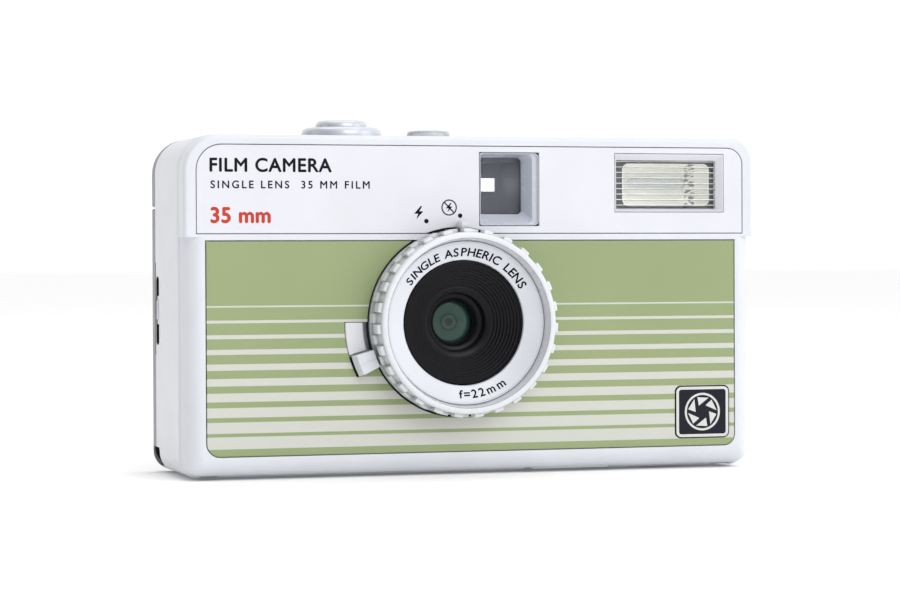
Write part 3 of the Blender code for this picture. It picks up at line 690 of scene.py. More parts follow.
def build_shell():
    steps = 10
    loops = []
    for step in range(steps + 1):
        turn = radians(90.0 * step / steps)
        crisp = (0.12 + 0.75 * (1 - sin(turn)), 0.9 * (1 - cos(turn)))
        soft = (0.32 + 3.25 * (1 - sin(turn)), 4.4 * (1 - cos(turn)))
        loops.append(soft_box(crisp[0], soft[0], crisp[1], soft[1]))
    rear = span("front_cover")[3]
    for crisp_inset, soft_inset, depth in ((0.12, 0.3, 4.7), (0.0, 0.0, 5.0), (0.0, 0.0, rear)):
        loops.append(soft_box(crisp_inset, soft_inset, depth, depth))
    loops.append(soft_box(WALL, WALL, rear, rear))
    loops.append(soft_box(WALL, WALL, FRONT_WALL_BACK, FRONT_WALL_BACK))
    ring_post = rod(LENS, SHEET_HOLE - 0.42, -5, 5, "Y", 160)
    pocket = carved(plate(grown(SHEET, 0.22), -3, 1.0, (0, 0, 2.2, 2.6)), [ring_post])
    left, right, front, back, _, _ = span("battery_door")
    lid_hole = outline(left - LID_SWING_ROOM, right + 0.3, front - 0.3, back + 0.3, (0.5,) * 4)
    screw_hole = [(3.0, -1.0), (2.0, 0.05), (2.0, 0.9), (1.2, 0.9), (1.2, 2.1)]
    cuts = [
        merged([plate(grown(FACE, 0.16), -3, 1.0, (4.76, 3.16, 0, 0)), pocket]),
        merged([
            plate(grown(FINDER, 0.2), -1, 5),
            plate(grown(rectangle("flash_window"), 0.35), -1, 5),
            rod(LENS, 15.0, -3, 5, "Y", ROUND),
        ]),
        merged([
            sector(17.25, 18.4, -1, 29, -3, 5),
            rod(BUTTON, 7.75, *TOP_CUT, "Z", ROUND),
            rod(COUNTER, 4.3, *TOP_CUT, "Z", 64),
            rod(CARTRIDGE, 9.3, *FLOOR_CUT, "Z", ROUND),
            slab(lid_hole, *FLOOR_CUT),
            rod(TRIPOD, 5.05, *FLOOR_CUT, "Z", 64),
            rod(SPROCKET, 2.5, *FLOOR_CUT, "Z", 48),
            *[turned(screw_hole, spot, "Z", 40) for spot in SCREWS],
            prism_x(rounded_slot(22.5, 25.3, 23.6, 36.3), -57, -52.5),
            prism_x(rounded_slot(22.5, 29.0, 0.95, 4.5), -57, -51.4),
            rod(HINGE, 1.75, -3, 49.15, "Z", 32),
        ]),
        brick(-57, -54.25, 25.36, 27, 21.75, 38.85),
    ]
    # Painted shadow: a dark ring at the floor of the gap around the lens ring stands for the shade there.
    gap_shade_profile = [(16.97, 0.72), (17.42, 0.72), (17.42, 0.94), (16.97, 0.94)]
    lathe("sheet_gap_painted_shadow", gap_shade_profile, LENS, "Y", 160, "dark", closed=True)
    piece("shell", loft(loops), "white", ["front_cover"], cuts, bevel=0.11, sharp=42)


def rounded_slot(d0, d1, z0, z1):
    radius = min(d1 - d0, z1 - z0) * 0.3
    return outline(d0, d1, z0, z1, (radius,) * 4, 6)


def prism_x(points, x0, x1):
    """Points in depth and height, drawn out sideways."""
    return loft([[(x, at(d), z) for d, z in points] for x in (x0, x1)])


def build_front():
    face_depth = span("faceplate")[3]
    piece(
        "front_panel", plate(FACE, 0.0, face_depth, FACE_CORNERS), "face", ["faceplate"],
        [merged([
            plate(grown(FINDER, 0.12), -1, 2), plate(grown(rectangle("flash_window"), 0.3), -1, 2),
            rod(LENS, SHEET_HOLE + 0.1, -1, 2, "Y", 160),
        ])],
    )
    piece(
        "front_sheet", plate(SHEET, 0.0, face_depth, (0, 0, 2.0, 2.4)), "sheet", ["striped_sheet"],
        [
            rod(LENS, SHEET_HOLE, -1, 2, "Y", 160),
            merged([sector(16.0, 21.72, -0.8, 26.9, -1, 2), plate(grown(BADGE, 0.16), -1, 2, (1.2,) * 4)]),
        ], bevel=0.06,
    )
    piece(
        "corner_badge", plate(BADGE, -0.14, 0.7, (1.1,) * 4), "badge", ["badge"],
        bevel=0.12, segments=3,
    )


def build_rear():
    top = rectangle("rear_top_cover")
    door = rectangle("back_door")

    def rear_loops(box, radii, share):
        loops = []
        for inset, depth in ((WALL, REAR_LINE), (WALL, REAR_SEAM), (0.0, REAR_SEAM)):
            loops.append(facing(outline(*grown(box, -inset), shrunk(radii, inset)), depth))
        for step in range(9):
            turn = radians(90.0 * step / 8)
            inset = BACK_ROUND * (1 - cos(turn))
            depth = BACK_DEPTH - 1.5 * (1 - sin(turn))
            x0, x1, z0, z1 = grown(box, -inset)
            if share == "top":
                z0 = box[2] + inset * 0.04
            else:
                z1 = box[3] - inset * 0.04
            loops.append(facing(outline(x0, x1, z0, z1, shrunk(radii, inset)), depth))
        return loops

    wheel = span("advance_wheel")
    eye = rectangle("eyepiece_frame")
    piece(
        "rear_top", loft(rear_loops(top, (*CORNERS[:2], 0.4, 0.4), "top")), "grey", ["rear_top_cover"],
        [merged([
            brick(-50.5, -26.5, 25, 31, wheel[4] - 0.35, wheel[4] + 5.35),
            plate(grown(eye, 0.2), 25, 31, (1.1,) * 4),
        ])],
        bevel=0.15, segments=3,
    )
    knuckles = []
    webs = []
    for low, high in KNUCKLES:
        knuckles.append(rod(HINGE, 1.1, low, high, "Z", 32))
        webs.append(brick(52.5, 53.9, 26.2, 29.0, low, high))
    body = carved(
        loft(rear_loops(door, (0.4, 0.4, *CORNERS[2:]), "door")),
        [merged([rod(HINGE, 1.4, -1, 50, "Z", 32), brick(-57, -51.4, 26, 28.2, 0.95, 4.5)])],
        [merged([*webs, brick(-51.8, -50.6, 24.3, 29.0, 29.2, 33.0)]), merged(knuckles)],
    )
    island = plate(grown(door, -6.5), 29, 32, (1.2,) * 4)
    groove = carved(plate(grown(door, -6), 29.75, 31, (1.5,) * 4), [island])
    notch = plate((-54.75, -51.35, 1.05, 4.4), 27.98, 28.14, (0, 0, 0, 3.0))
    piece("door_notch", notch, "dark", ride="door", bevel=0.05)
    piece(
        "rear_door", body, "grey", ["back_door"], ride="door",
        cuts=[rod(HINGE, 0.75, 5, 45, "Z", 24), groove], bevel=0.12,
    )


# ---------------------------------------------------------------- finder and flash


def build_finder():
    x0, x1, z0, z1 = FINDER
    inner = (x0 + 0.75, x1 - 2.3, z0 + 2.1, z1 - 0.75)
    soft = (0.5, 0.9, 0.9, 0.5)
    loops = [
        facing(outline(*box, soft), depth)
        for box, depth in (
            (FINDER, 0.0),
            ((x0 + 0.1, x1 - 0.12, z0 + 0.1, z1 - 0.1), 0.0),
            ((x0 + 0.25, x1 - 0.2, z0 + 0.15, z1 - 0.15), 0.45),
            ((x0 + 0.35, x1 - 1.05, z0 + 0.35, z1 - 0.25), 0.6),
            (inner, 3.1), (inner, 3.7), (FINDER, 3.7),
        )
    ]
    piece("finder_bezel", loft(loops, True), "bezel", ["finder_frame"], bevel=0.12)
    tube = rectangle("finder_tunnel")
    piece("finder_glass", plate(tube, 4.0, 5.2, (0.5,) * 4), "finder_glass", ["finder_front_lens"])
    mask = (tube[0] + 1.0, tube[1] - 1.0, tube[2] + 0.9, tube[3] - 0.9)
    small = (6.35, 9.15, 52.2, 54.7)
    piece("finder_mask", plate(mask, 17.6, 18.2), "tunnel", cuts=[plate(small, 17, 19)])
    # Painted light: a glowing patch behind the mask stands for daylight seen through the finder.
    piece("finder_painted_light_patch", plate(grown(small, 0.15), 18.35, 18.6), "finder_light")
    eye = rectangle("eyepiece_frame")
    piece(
        "eyepiece", plate(eye, 26.3, 32.0, (1.2,) * 4), "dark", ["eyepiece_frame"],
        [plate(grown(eye, -1.2), 26, 33, (0.6,) * 4), plate(grown(eye, -0.6), 26, 28.4, (0.6,) * 4)],
        bevel=0.35, segments=4,
    )


def build_flash():
    x0, x1, z0, z1 = rectangle("flash_window")
    clear_area = (x0 + 0.35, x1 - 1.0, z0 + 0.4, z1 - 0.95)
    frame_box = (x0 - 0.2, x1 + 0.2, z0 - 0.2, z1 + 0.2)
    square = outline(*frame_box)
    inner = outline(*grown(frame_box, -0.15))
    hole = outline(*clear_area)
    shapes = ((square, 0.0), (inner, 0.0), (hole, 1.05), (hole, 2.1), (square, 2.1))
    loops = [facing(shape, depth) for shape, depth in shapes]
    piece("flash_bezel", loft(loops, True), "face", bevel=0.08)
    low, high = clear_area[2] + 0.1, clear_area[3] - 0.1
    pitch = (high - low) / FLASH_RIBS
    profile = [(1.75, low), (1.75, high)]
    for i in range(FLASH_RIBS, 0, -1):
        for share in (0.97, 0.8, 0.6, 0.4, 0.2, 0.03):
            rise = 0.32 * sqrt(max(0.0, 1 - ((share - 0.5) / 0.5) ** 2))
            profile.append((1.45 - rise, low + pitch * (i - 1 + share)))
    body = loft([[(x, at(d), z) for d, z in profile] for x in (clear_area[0] + 0.08, clear_area[1] - 0.08)])
    piece("flash_lens", body, "ribbed", ["flash_window"], bevel=0)
    mouth = (x0 + 2.1, x1 - 1.8, z0 + 0.95, z1 - 1.55)
    surround = plate(grown(clear_area, 0.6), 2.3, 3.0)
    piece("flash_surround", surround, "shadow", cuts=[plate(mouth, 2, 4, (1.2,) * 4)], bevel=0.15)
    loops = []
    for step in range(9):
        share = step / 8
        shape = (
            mouth[0] + 0.05 + 3.0 * share**1.5, mouth[1] - 0.05 - 3.0 * share**1.5,
            mouth[2] + 0.05 + 2.4 * share**2.2, mouth[3] - 0.05 - 2.4 * share**2.2,
        )
        loops.append(facing(outline(*shape, (1.2 - 0.6 * share,) * 4, 5), 2.35 + 6.6 * share))
    outer = [
        facing(outline(*grown(mouth, by), (1.2,) * 4, 5), depth)
        for by, depth in ((-0.4, 9.8), (0.5, 6.0), (0.5, 3.15), (0.2, 2.35))
    ]
    piece("reflector", loft([*loops[::-1], *outer[::-1]]), "cream", ["flash_reflector"], bevel=0)
    left, right, d0, d1, t0, t1 = span("flash_tube")
    axis = ((d0 + d1) / 2, (t0 + t1) / 2)
    profile = [(0.25, left), (0.8, left + 0.3), (1.1, left + 0.8)]
    profile += [(1.1, right - 0.8), (0.8, right - 0.3), (0.25, right)]
    lathe("flash_bulb", profile, axis, "X", 32, "clear", ["flash_tube"])


# ---------------------------------------------------------------- lens


def ring_loops():
    """The knurled ring: raised pads in two rows, the rear row half a pitch round from the front."""
    rows = [(14.95, -0.45), (16.3, -0.45), (RING_BASE, -0.6)]
    for d0, d1, parity in ((-0.75, -3.45, 1), (-3.55, -6.3, 0)):
        for share, rise in ((0, 0), (0.05, 0.75), (0.11, 1), (0.5, 1), (0.89, 1), (0.95, 0.75), (1, 0)):
            rows.append((d0 + (d1 - d0) * share, parity, rise))
    rows.append((RING_BASE, -RING_FRONT))
    for step in range(1, 6):
        turn = radians(90.0 * step / 5)
        depth = -RING_FRONT - RING_ROUND * sin(turn)
        rows.append((RING_BASE - RING_ROUND * (1 - cos(turn)), depth))
    rows += [(15.7, -7.0), (15.52, -6.95), (15.44, -6.8), (15.36, -6.84), (15.3, -6.7), (14.95, -4.75)]
    cells = TEETH * 2
    sides = (0.02, 0.055, 0.1, 0.5, 0.9, 0.945, 0.98)
    loops = []
    for row in rows:
        loop = []
        for cell in range(cells):
            for side in sides:
                angle = 2 * pi * (cell + side - 0.5) / cells
                if len(row) == 2:
                    radius, depth = row
                else:
                    depth, parity, rise = row
                    raised = (cell + parity) % 2 == 0
                    edge = min(1.0, max(0.0, min(side, 1 - side) - 0.02) / 0.08) ** 0.6
                    radius = RING_BASE + (RING_TIP - RING_BASE) * rise * edge if raised else RING_BASE
                across, up = radius * sin(angle), radius * cos(angle)
                loop.append((LENS[0] - across, at(depth), LENS[1] + up))
        loops.append(loop)
    return loops


def build_lens():
    index = brick(LENS[0] - 0.6, LENS[0] + 0.6, -4.2, -0.8, LENS[1] + 16.0, LENS[1] + 18.45)
    body = carved(loft(ring_loops(), True), joins=[index])
    piece("knurled_ring", body, "ring", ["flash_ring"], ride="ring", bevel=0, sharp=34)
    profile = [
        (14.88, -4.7), (14.8, -4.74), (14.68, -4.68), (14.58, -4.5), (14.45, -4.54), (11.75, -3.28),
        (11.6, -3.3), (11.5, -3.2), (11.45, -3.0), (11.45, -2.7), (11.75, -2.7), (14.88, -4.1),
    ]
    lathe("dish_face", profile, LENS, "Y", 128, "white", ["lens_face"], sharp=50, closed=True)
    rows = []
    for i in range(FUNNEL_RIDGES):
        share = i / FUNNEL_RIDGES
        radius = 11.15 - 4.55 * share
        depth = -2.95 + 3.65 * share
        for inward, back in ((0.0, 0.0), (0.07, -0.02), (0.16, 0.05), (0.2, 0.37)):
            rows.append((radius - inward, depth + back))
    rows += [(6.55, 0.72), (6.35, 0.66), (5.7, 0.86), (5.5, 1.0), (5.35, 1.3), (5.35, 2.4)]
    rows += [(5.2, 2.6), (4.6, 2.7), (4.4, 2.85), (3.95, 3.5), (3.83, 3.8), (3.83, 4.2)]
    rows += [(6.0, 4.2), (6.2, 2.9), (11.2, -1.4), (11.25, -2.9)]
    lathe("ridged_funnel", rows, LENS, "Y", 128, "funnel", ["lens_funnel"], sharp=28, closed=True)
    profile = []
    for step in range(12):
        radius = 0.05 + 4.35 * step / 11
        profile.append((radius, 4.45 + 0.028 * radius**2))
    profile += [(4.4, 6.2), (0.05, 6.2)]
    lathe("front_element", profile, LENS, "Y", 96, "lens", ["front_lens"], sharp=40)


def build_filter():
    pad = sector(18.3, 21.62, -0.5, 15.5, -0.4, 0.7)
    piece("lever_pad", pad, "face", ["filter_pad"], bevel=0.25, segments=3)
    # Painted shade: a dark strip on the floor of the lever's slot stands for the shade in the slot below
    # the lever.
    floor = sector(18.5, 21.66, 16.7, 26.8, 0.72, 0.92)
    piece("lever_slot_painted_shade", floor, "dark", bevel=0)
    foot = facing(arc_points(17.55, 21.45, 15.85, 26.4), -0.7)
    tab = loft([foot, facing(arc_points(17.55, 20.85, 15.85, 26.4), -2.5)])
    crease = sector(17.4, 21.9, 21.0, 21.2, -3.0, -2.42)
    piece("lever", tab, "white", ["filter_lever"], ride="lever", cuts=[crease], bevel=0.13, segments=3)
    stem = sector(17.55, 18.1, 17.5, 25.5, -1.2, 6.9)
    hook = sector(14.2, 17.9, 17.5, 25.5, 6.5, 7.0)
    band = sector(17.0, 18.8, -2, 46, 2.35, 2.8, 40)
    piece("lever_band", band, "white", ride="lever", joins=[stem, hook], bevel=0.08)


# ---------------------------------------------------------------- top, side and film transport


def build_top():
    collar = [
        (7.45, 60.2), (7.45, 62.3), (7.38, 62.9), (7.2, 63.35), (6.85, 63.65), (6.4, 63.8),
        (5.5, 63.8), (5.25, 63.65), (5.2, 63.4), (5.2, 59.3), (8.6, 59.3), (8.6, 60.2),
    ]
    lathe("collar", collar, BUTTON, "Z", ROUND, "button", ["button_collar"], sharp=40, closed=True)
    button = [(0.3, 56.6), (1.8, 56.6), (1.8, 60.6), (4.85, 60.6), (4.85, 63.9)]
    button += [(4.75, 64.4), (4.5, 64.85), (4.1, 65.08), (3.6, 65.14)]
    for step in range(1, 7):
        button.append((3.4 * (1 - step / 6) + 0.05, 65.14 - 0.22 * (step / 6) ** 0.7))
    lathe(
        "release_button", button, BUTTON, "Z", ROUND, "button", ["shutter_button"], ride="button",
        sharp=40,
    )
    window = [
        (0.3, 59.4), (4.9, 59.4), (4.9, 60.2), (4.05, 60.2), (4.05, 62.5), (3.95, 62.95),
        (3.7, 63.22), (3.3, 63.3), (2.0, 63.34), (0.3, 63.35),
    ]
    lathe("counter_cover", window, COUNTER, "Z", 64, "frosted", ["counter_window"], sharp=40)
    dial = [(1.2, 58.0), (8.1, 58.0), (8.3, 58.2), (8.3, 58.8), (8.1, 59.0), (1.2, 59.0)]
    lathe(
        "frame_dial", dial, DIAL, "Z", ROUND, "white", ["counter_dial"], ride="counter", sharp=40,
        closed=True,
    )
    for number in range(0, DIAL_COUNT, 5):
        turn = -2 * pi * number / DIAL_COUNT
        place = (DIAL[0] + 5.6 * cos(turn), DIAL[1] + 5.6 * sin(turn), 59.02)
        lettering(
            f"dial_{number}", str(number), 1.55, place, ride="counter", turn=degrees(turn) - 90,
            up=True,
        )


def build_side():
    knob = prism_x(rounded_slot(23.35, 24.85, 27.4, 32.7), -54.85, -53.0)
    tip = prism_x(rounded_slot(23.55, 24.65, 28.3, 31.8), -55.0, -54.6)
    arrow = prism_x([(23.7, 31.4), (24.5, 31.4), (24.1, 29.3)], -56, -54.8)
    piece("latch_knob", knob, "silver", ["latch_slider"], ride="latch", cuts=[arrow], joins=[tip])
    plate_body = brick(-53.2, -52.2, 22.9, 25.8, 28.8, 35.8)
    piece("latch_plate", plate_body, "dark", ride="latch")
    recess = brick(-53.35, -52.55, 21.9, 22.75, 23.2, 36.8)
    piece(
        "latch_well", recess, "dark", joins=[brick(-52.15, -51.9, 22.0, 25.9, 22.5, 38.0)], bevel=0.05,
    )
    liner = prism_x(rounded_slot(22.52, 25.28, 23.62, 36.28), -54.93, -53.4)
    inside = prism_x(rounded_slot(22.68, 25.12, 23.78, 36.12), -56, -53)
    piece("latch_liner", liner, "dark", cuts=[inside], bevel=0)
    lip = brick(-54.9, -54.35, 25.45, 26.2, 21.9, 38.7)
    piece("door_lip", lip, "grey", ride="door", bevel=0.12)
    notch = brick(-51.75, -51.45, 22.6, 25.7, 0.9, 4.5)
    piece("strap_well", notch, "dark", bevel=0.05)


def build_transport():
    x0, x1, _, _, z0, _ = span("advance_wheel")
    radius = (x1 - x0) / 2
    rim = []
    for i in range(WHEEL_TEETH):
        for reach, side in ((0, 0.0), (0, 0.5), (0.5, 0.62), (0.5, 0.88)):
            angle = 2 * pi * (i + side) / WHEEL_TEETH
            out = radius - reach
            rim.append((WHEEL[0] + out * cos(angle), WHEEL[1] + out * sin(angle)))
    piece(
        "thumb_wheel", slab(rim, z0, z0 + 5.0), "grey", ["advance_wheel"], ride="winder",
        cuts=[rod(WHEEL, 2.0, 50, 57, "Z", 32), rod(WHEEL, 11.5, 54.0, 58, "Z", 64)],
        bevel=0.15, sharp=25,
    )
    hub = [(1.6, 53.9), (1.6, 57.3), (1.8, 57.5), (5.2, 57.5), (5.5, 57.2), (5.5, 53.9)]
    lathe("wheel_hub", hub, WHEEL, "Z", 48, "grey", ride="winder", closed=True)
    spool = [
        (1.2, 2.9), (1.2, 4.5), (7.0, 4.5), (7.0, 5.4), (5.5, 5.6),
        (5.5, 45.6), (7.0, 45.8), (7.0, 46.8), (1.3, 46.8), (1.3, 57.2),
    ]
    slot_cut = brick(WHEEL[0] - 0.6, WHEEL[0] + 0.6, WHEEL[1] + 2, WHEEL[1] + 8, 15, 40)
    piece(
        "film_spool", turned(spool, WHEEL, "Z", 64), "dark", ["take_up_spool"], ride="winder",
        cuts=[slot_cut], bevel=0.12,
    )
    drum = [
        (1.0, 5.4), (1.0, 8.4), (5.1, 8.4), (5.1, 14.6), (3.4, 15.2),
        (3.4, 40.2), (5.1, 40.8), (5.1, 47.1), (1.0, 47.1), (1.0, 50.5),
    ]
    teeth_bodies = []
    for i in range(SPROCKET_TEETH):
        angle = 2 * pi * i / SPROCKET_TEETH
        for z in SPROCKET_ROWS:
            tooth = turned([(0.75, 4.8), (0.6, 5.3), (0.25, 5.5)], (0, 0), "X", 10)
            bmesh.ops.translate(tooth, verts=tooth.verts[:], vec=(0, -at(0), 0))
            spin = Matrix.Rotation(angle, 3, "Z")
            bmesh.ops.rotate(tooth, verts=tooth.verts[:], cent=(0, 0, 0), matrix=spin)
            bmesh.ops.translate(tooth, verts=tooth.verts[:], vec=(SPROCKET[0], at(SPROCKET[1]), z))
            teeth_bodies.append(tooth)
    piece(
        "sprocket_drum", turned(drum, SPROCKET, "Z", 48), "dark", ["sprocket"], ride="film_sprocket",
        joins=[merged(teeth_bodies)], bevel=0.08,
    )
    coil = []
    steps = SPRING_TURNS * 24
    for i in range(steps + 1):
        share = i / steps
        angle = 2 * pi * SPRING_TURNS * share
        loop = []
        for j in range(10):
            turn = 2 * pi * j / 10
            reach = SPRING_RADIUS + WIRE_RADIUS * cos(turn)
            height = SPRING_FOOT + SPRING_RISE * share + WIRE_RADIUS * sin(turn)
            x, y = reach * cos(angle), reach * sin(angle)
            loop.append((BUTTON[0] + x, at(BUTTON[1]) + y, height))
        coil.append(loop)
    spring = piece("return_spring", loft(coil), "steel", ["button_spring"], bevel=0, sharp=60)
    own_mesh(spring)


def build_bottom():
    cx, cd = CARTRIDGE
    disc = rod(CARTRIDGE, 9.0, 0.5, 2.8, "Z", ROUND)
    piece(
        "crank_disc", disc, "grey", ["rewind_disc"], ride="rewinder",
        cuts=[slab(outline(cx - 7.6, cx + 7.6, cd - 2.9, cd + 2.9, (2.5, 0.5, 0.5, 2.5)), -1, 2.0)],
        joins=[rod(CARTRIDGE, 2.3, 2.5, 4.6, "Z", 40)], bevel=0.18, segments=3,
    )
    arm = slab(outline(cx - 7.2, cx + 7.0, cd - 2.5, cd + 2.5, (2.4, 0.4, 0.4, 2.4)), 0.25, 1.6)
    piece(
        "crank_arm", arm, "silver", ["rewind_arm"], ride="crank",
        cuts=[
            rod((cx - 4.4, cd), 1.9, -1, 3, "Z", 40),
            slab(outline(cx - 1.5, cx + 5.2, cd - 1.2, cd + 1.2, (0.6,) * 4), -1, 0.6),
        ],
        bevel=0.15, segments=3,
    )
    knob = [(1.6, 0.5), (1.45, 0.32), (1.2, 0.3), (0.2, 0.45), (0.2, 1.7), (1.6, 1.7)]
    lathe("crank_knob", knob, (cx - 4.4, cd), "Z", 40, "dark", ["rewind_knob"], ride="crank", closed=True)
    release = [(0.1, 0.5), (1.5, 0.5), (1.9, 0.38), (2.1, 0.35), (2.2, 0.5)]
    release += [(2.2, 3.4), (1.2, 3.4), (1.2, 4.2), (0.1, 4.2)]
    lathe("film_release", release, SPROCKET, "Z", 40, "silver", ["rewind_release"], ride="release")
    socket = [(4.8, 8.9), (4.8, 0.4), (4.65, 0.25), (3.4, 0.25), (3.15, 0.5)]
    for i in range(1, THREADS + 1):
        socket += [(3.15, 0.5 + i * 0.5 - 0.3), (2.9, 0.5 + i * 0.5 - 0.05)]
    socket += [(3.15, 6.2), (0.1, 6.2), (0.1, 8.9)]
    lathe("thread_insert", socket, TRIPOD, "Z", 64, "brass", ["tripod_socket"], sharp=25, closed=True)
    x0, x1, d0, d1, z0, z1 = span("battery_door")
    lid = slab(outline(x0, x1, d0, d1, (1,) * 4), z0, z1)
    ribs = []
    for i in range(4):
        rib = outline(x1 - 4.6 + 0.8 * i, x1 - 4.2 + 0.8 * i, d0 + 3, d1 - 3)
        ribs.append(slab(rib, z0 - 1, z0 + 0.25))
    piece(
        "battery_lid_panel", lid, "white", ["battery_door"], ride="battery_lid", cuts=[merged(ribs)],
        bevel=0.12,
    )
    for number, spot in enumerate(SCREWS, 1):
        profile = [(0.9, 5.8), (0.9, 0.65), (1.7, 0.62), (1.7, 0.4), (1.5, 0.27), (0.1, 0.25), (0.1, 5.8)]
        cross = [
            slab(outline(spot[0] - a, spot[0] + a, spot[1] - b, spot[1] + b), 0, 0.55)
            for a, b in ((0.95, 0.22), (0.22, 0.95))
        ]
        piece(
            f"case_screw_{number}", turned(profile, spot, "Z", 32, True), "steel", [f"screw_{number}"],
            cuts=cross, bevel=0.05,
        )


# ---------------------------------------------------------------- printed marks


def lettering(
    name, words, height, place, look="ink", ride="camera",
    turn=0.0, up=False, weight=0.0, spacing=1.0, lean=0.0,
):
    """Generic printed words as a thin skin. Place is (x, depth, z) of the middle of their base."""
    text = bpy.data.curves.new(name, "FONT")
    text.body = words
    text.size = height * MM * SIZE_PER_HEIGHT
    text.align_x = "CENTER"
    text.align_y = "BOTTOM_BASELINE"
    text.space_character = spacing
    text.extrude = 0.012 * MM
    holder = bpy.data.objects.new(name, text)
    bpy.context.scene.collection.objects.link(holder)
    bpy.context.view_layer.update()
    plain = bpy.data.meshes.new_from_object(holder.evaluated_get(bpy.context.evaluated_depsgraph_get()))
    bpy.data.objects.remove(holder, do_unlink=True)
    whole = bmesh.new()
    shifts = ((0, 0), (1, 0), (-1, 0), (0, 1), (0, -1)) if weight else ((0, 0),)
    for layer, (right, rise) in enumerate(shifts):
        copy = plain.copy()
        copy.transform(Matrix.Translation((right * weight * MM, rise * weight * MM, -0.003 * layer * MM)))
        whole.from_mesh(copy)
        bpy.data.meshes.remove(copy)
    mesh = bpy.data.meshes.new(name)
    whole.to_mesh(mesh)
    whole.free()
    bpy.data.meshes.remove(plain)
    made = placed(name, mesh)
    stand = Matrix.Rotation(radians(0 if up else 90), 4, "X")
    spin = Matrix.Rotation(radians(turn), 4, "Z" if up else "Y")
    tip = Matrix.Rotation(radians(lean), 4, "X")
    x, depth, z = place
    mesh.transform(Matrix.Translation((x * MM, at(depth) * MM, z * MM)) @ spin @ tip @ stand)
    mesh.materials.clear()
    mesh.materials.append(LOOK[look])
    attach(made, ride)


LETTER_WIDTH = {
    " ": 0.7, "I": 0.5, "m": 1.5, "f": 0.7, "E": 0.85, "L": 0.85, "G": 1.15, "N": 1.15, "C": 1.1, "H": 1.1,
}


def words_on_dish(words, radius, first, last, height):
    """Letters round the dished face. Angles count clockwise from the top."""
    slope = degrees(atan2(4.54 - 3.28, 14.45 - 11.75))
    widths = [LETTER_WIDTH.get(letter, 1.0) for letter in words]
    total = sum(widths) - (widths[0] + widths[-1]) / 2
    for number, letter in enumerate(words):
        if letter == " ":
            continue
        run = sum(widths[:number]) + (widths[number] - widths[0]) / 2
        angle = first + (last - first) * run / total
        turn = radians(angle)
        below = abs(angle) > 90
        base = radius + height if below else radius
        lean = -slope if below else slope
        lift = -3.28 - (base - 11.75) * tan(radians(slope)) - 0.035
        spot = (LENS[0] + base * sin(turn), lift, LENS[1] + base * cos(turn))
        lettering(
            f"dish_{number}_{abs(int(angle))}", letter, height, spot, turn=angle + 180 if below else angle,
            weight=0.05, lean=lean,
        )


def thin(name, body, look="ink"):
    piece(name, body, look, bevel=0)


def bolt(centre, size):
    """A generic lightning bolt in the plane of the front."""
    shape = (
        (0.15, 0.5), (-0.36, -0.08), (-0.04, -0.08), (-0.2, -0.5), (0.36, 0.1), (0.04, 0.1), (0.28, 0.5),
    )
    return [(centre[0] + x * size, centre[1] + z * size) for x, z in shape]


def build_marks():
    skin = (-0.025, 0.05)
    left = FACE[0] + 2.6
    lettering("name_line", "FILM CAMERA", 2.4, (left + 10.9, skin[0], 55.2), weight=0.085, spacing=1.08)
    place = (left + 14.7, skin[0], 52.2)
    lettering("detail_line", "SINGLE LENS  35 MM FILM", 1.35, place, weight=0.035, spacing=1.36)
    lettering("red_line", "35 mm", 2.7, (left + 5.4, skin[0], 46.05), "red", weight=0.13, spacing=1.05)
    on = (-9.78, 46.29)
    off = (-3.32, 47.28)
    thin("flash_on_dot", rod(on, 0.42, *skin, "Y", 32))
    thin("flash_off_dot", rod(off, 0.42, *skin, "Y", 32))
    thin("flash_on_mark", prism(bolt((on[0] - 1.45, on[1] + 1.55), 2.4), *skin))
    centre = (off[0] - 2.1, off[1] + 1.5)
    thin("flash_off_mark", prism(bolt(centre, 1.7), *skin))
    ring = [(1.48, skin[0]), (1.26, skin[0]), (1.26, skin[1]), (1.48, skin[1])]
    thin("flash_off_ring", turned(ring, centre, "Y", 48, True))
    slash = [(centre[0] + 0.85, centre[1] - 1.05), (centre[0] + 1.02, centre[1] - 0.88)]
    slash += [(centre[0] - 0.85, centre[1] + 1.05), (centre[0] - 1.02, centre[1] + 0.88)]
    thin("flash_off_slash", prism(slash, *skin))
    words_on_dish("SINGLE ASPHERIC LENS", 12.2, -54.0, 58.0, 1.62)
    words_on_dish("f=22mm"[::-1], 12.15, 149.0, 184.0, 1.6)
    x0, x1, z0, z1 = BADGE
    middle_spot = ((x0 + x1) / 2, (z0 + z1) / 2)
    top = -0.165
    rim = [(3.55, top), (3.15, top), (3.15, 0.0), (3.55, 0.0)]
    thin("badge_ring", turned(rim, middle_spot, "Y", 64, True), "pale")
    for blade in range(6):
        turn = radians(60 * blade)
        points = []
        for radius, angle in ((2.9, 4), (2.9, 50), (1.35, 62)):
            spot = turn + radians(angle)
            across, up = radius * cos(spot), radius * sin(spot)
            points.append((middle_spot[0] + across, middle_spot[1] + up))
        thin(f"badge_blade_{blade}", prism(points, top, 0.0), "pale")
    edge = []
    for by, depth in ((0.1, top), (0.62, top), (0.62, 0.0), (0.1, 0.0)):
        edge.append(facing(outline(*grown(BADGE, -by), (max(1.1 - by, 0.3),) * 4), depth))
    thin("badge_line", loft(edge, True), "pale")


# ---------------------------------------------------------------- stage


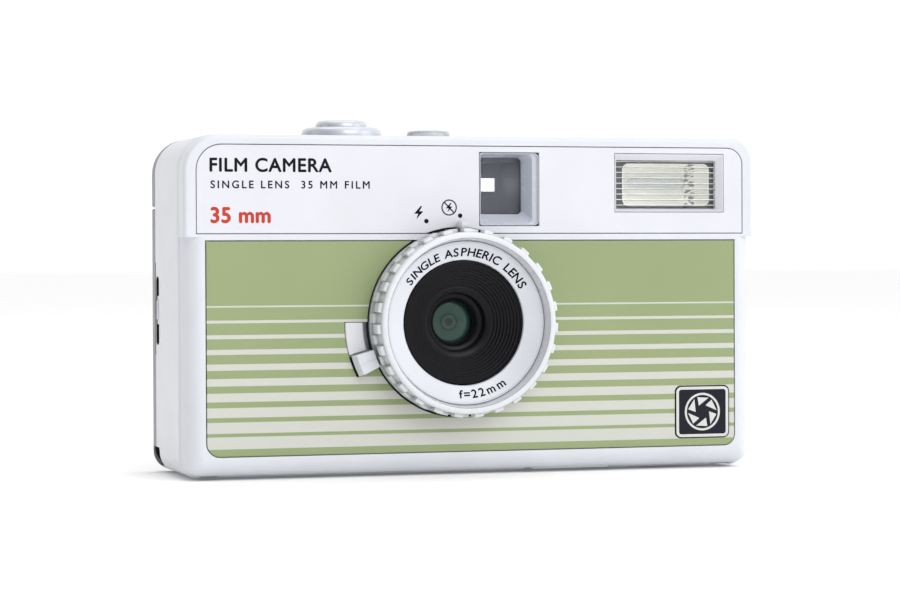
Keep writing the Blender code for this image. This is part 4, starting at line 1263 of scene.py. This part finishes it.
def build_stage():
    world = bpy.data.worlds.new("studio")
    bpy.context.scene.world = world
    world.use_nodes = True
    sky = Nodes(world.node_tree)
    generated = sky.node("ShaderNodeTexCoord").outputs["Generated"]
    toward = sky.node("ShaderNodeVectorMath", operation="DOT_PRODUCT")
    sky.plug((generated, (-0.96, -0.22, 0.0)), toward.inputs)
    grey = sky.node("ShaderNodeCombineColor")
    sky.plug([sky.spread(toward.outputs["Value"], 1.08, 0.22, 0.25, 0.85)] * 3, grey.inputs)
    sky.feed(sky.tree.nodes["Background"], Strength=1.0, Color=grey.outputs[0])
    bpy.context.scene.view_settings.view_transform = "Standard"
    floor = bpy.data.meshes.new("floor")
    reach = 60.0
    signs = ((-1, -1), (1, -1), (1, 1), (-1, 1))
    floor.from_pydata([(x * reach, y * reach, FLOOR_Z) for x, y in signs], [], [(0, 1, 2, 3)])
    ground = placed("floor", floor)
    look = Shader("floor")
    white = (1.0, 1.0, 1.0)
    look.colour(look.mix(look.cloud(3.0), tint(white, 0.955), tint(white, 0.965)))
    look.fix(Roughness=0.9, Specular_IOR_Level=0.1, Emission_Color=tint(white), Emission_Strength=0.07)
    floor.materials.append(look.material)

    def lamp(name, spot, size, power, colour=(1.0, 1.0, 1.0)):
        data = bpy.data.lights.new(name, "AREA")
        data.shape = "RECTANGLE"
        data.size, data.size_y = size
        data.energy = power
        data.color = colour
        made = placed(name, data)
        made.location = spot
        made.rotation_euler = (Vector((0, 0, 0.03)) - Vector(spot)).to_track_quat("-Z", "Y").to_euler()

    lamp("key", (0.2, -0.85, 0.6), (0.6, 0.5), 3.0)
    lamp("right", (0.9, -0.45, 0.35), (0.5, 0.6), 0.9, (0.95, 0.97, 1.0))
    lamp("top", (0.0, 0.15, 0.9), (0.9, 0.6), 1.5)
    lamp("left", (-0.9, 0.1, 0.3), (0.5, 0.5), 0.4)


def build_camera():
    data = bpy.data.cameras.new("view")
    data.sensor_width = 36.0
    data.lens = 112.36
    data.clip_start = 0.01
    data.clip_end = 10.0
    view = placed("view", data)
    yaw, pitch, roll = radians(17.0), radians(0.82), radians(-0.24)
    ahead = Vector((sin(yaw) * cos(pitch), cos(yaw) * cos(pitch), -sin(pitch)))
    right = Vector((cos(yaw), -sin(yaw), 0.0))
    up = right.cross(ahead)
    across = right * cos(roll) + up * sin(roll)
    above = up * cos(roll) - right * sin(roll)
    turn = Matrix((across, above, -ahead)).transposed().to_4x4()
    view.matrix_world = Matrix.Translation((-0.1559, -0.505, 0.0392)) @ turn
    bpy.context.scene.camera = view


build_shell()
build_front()
build_rear()
build_finder()
build_flash()
build_lens()
build_filter()
build_top()
build_side()
build_transport()
build_bottom()
build_marks()
build_stage()
build_camera()
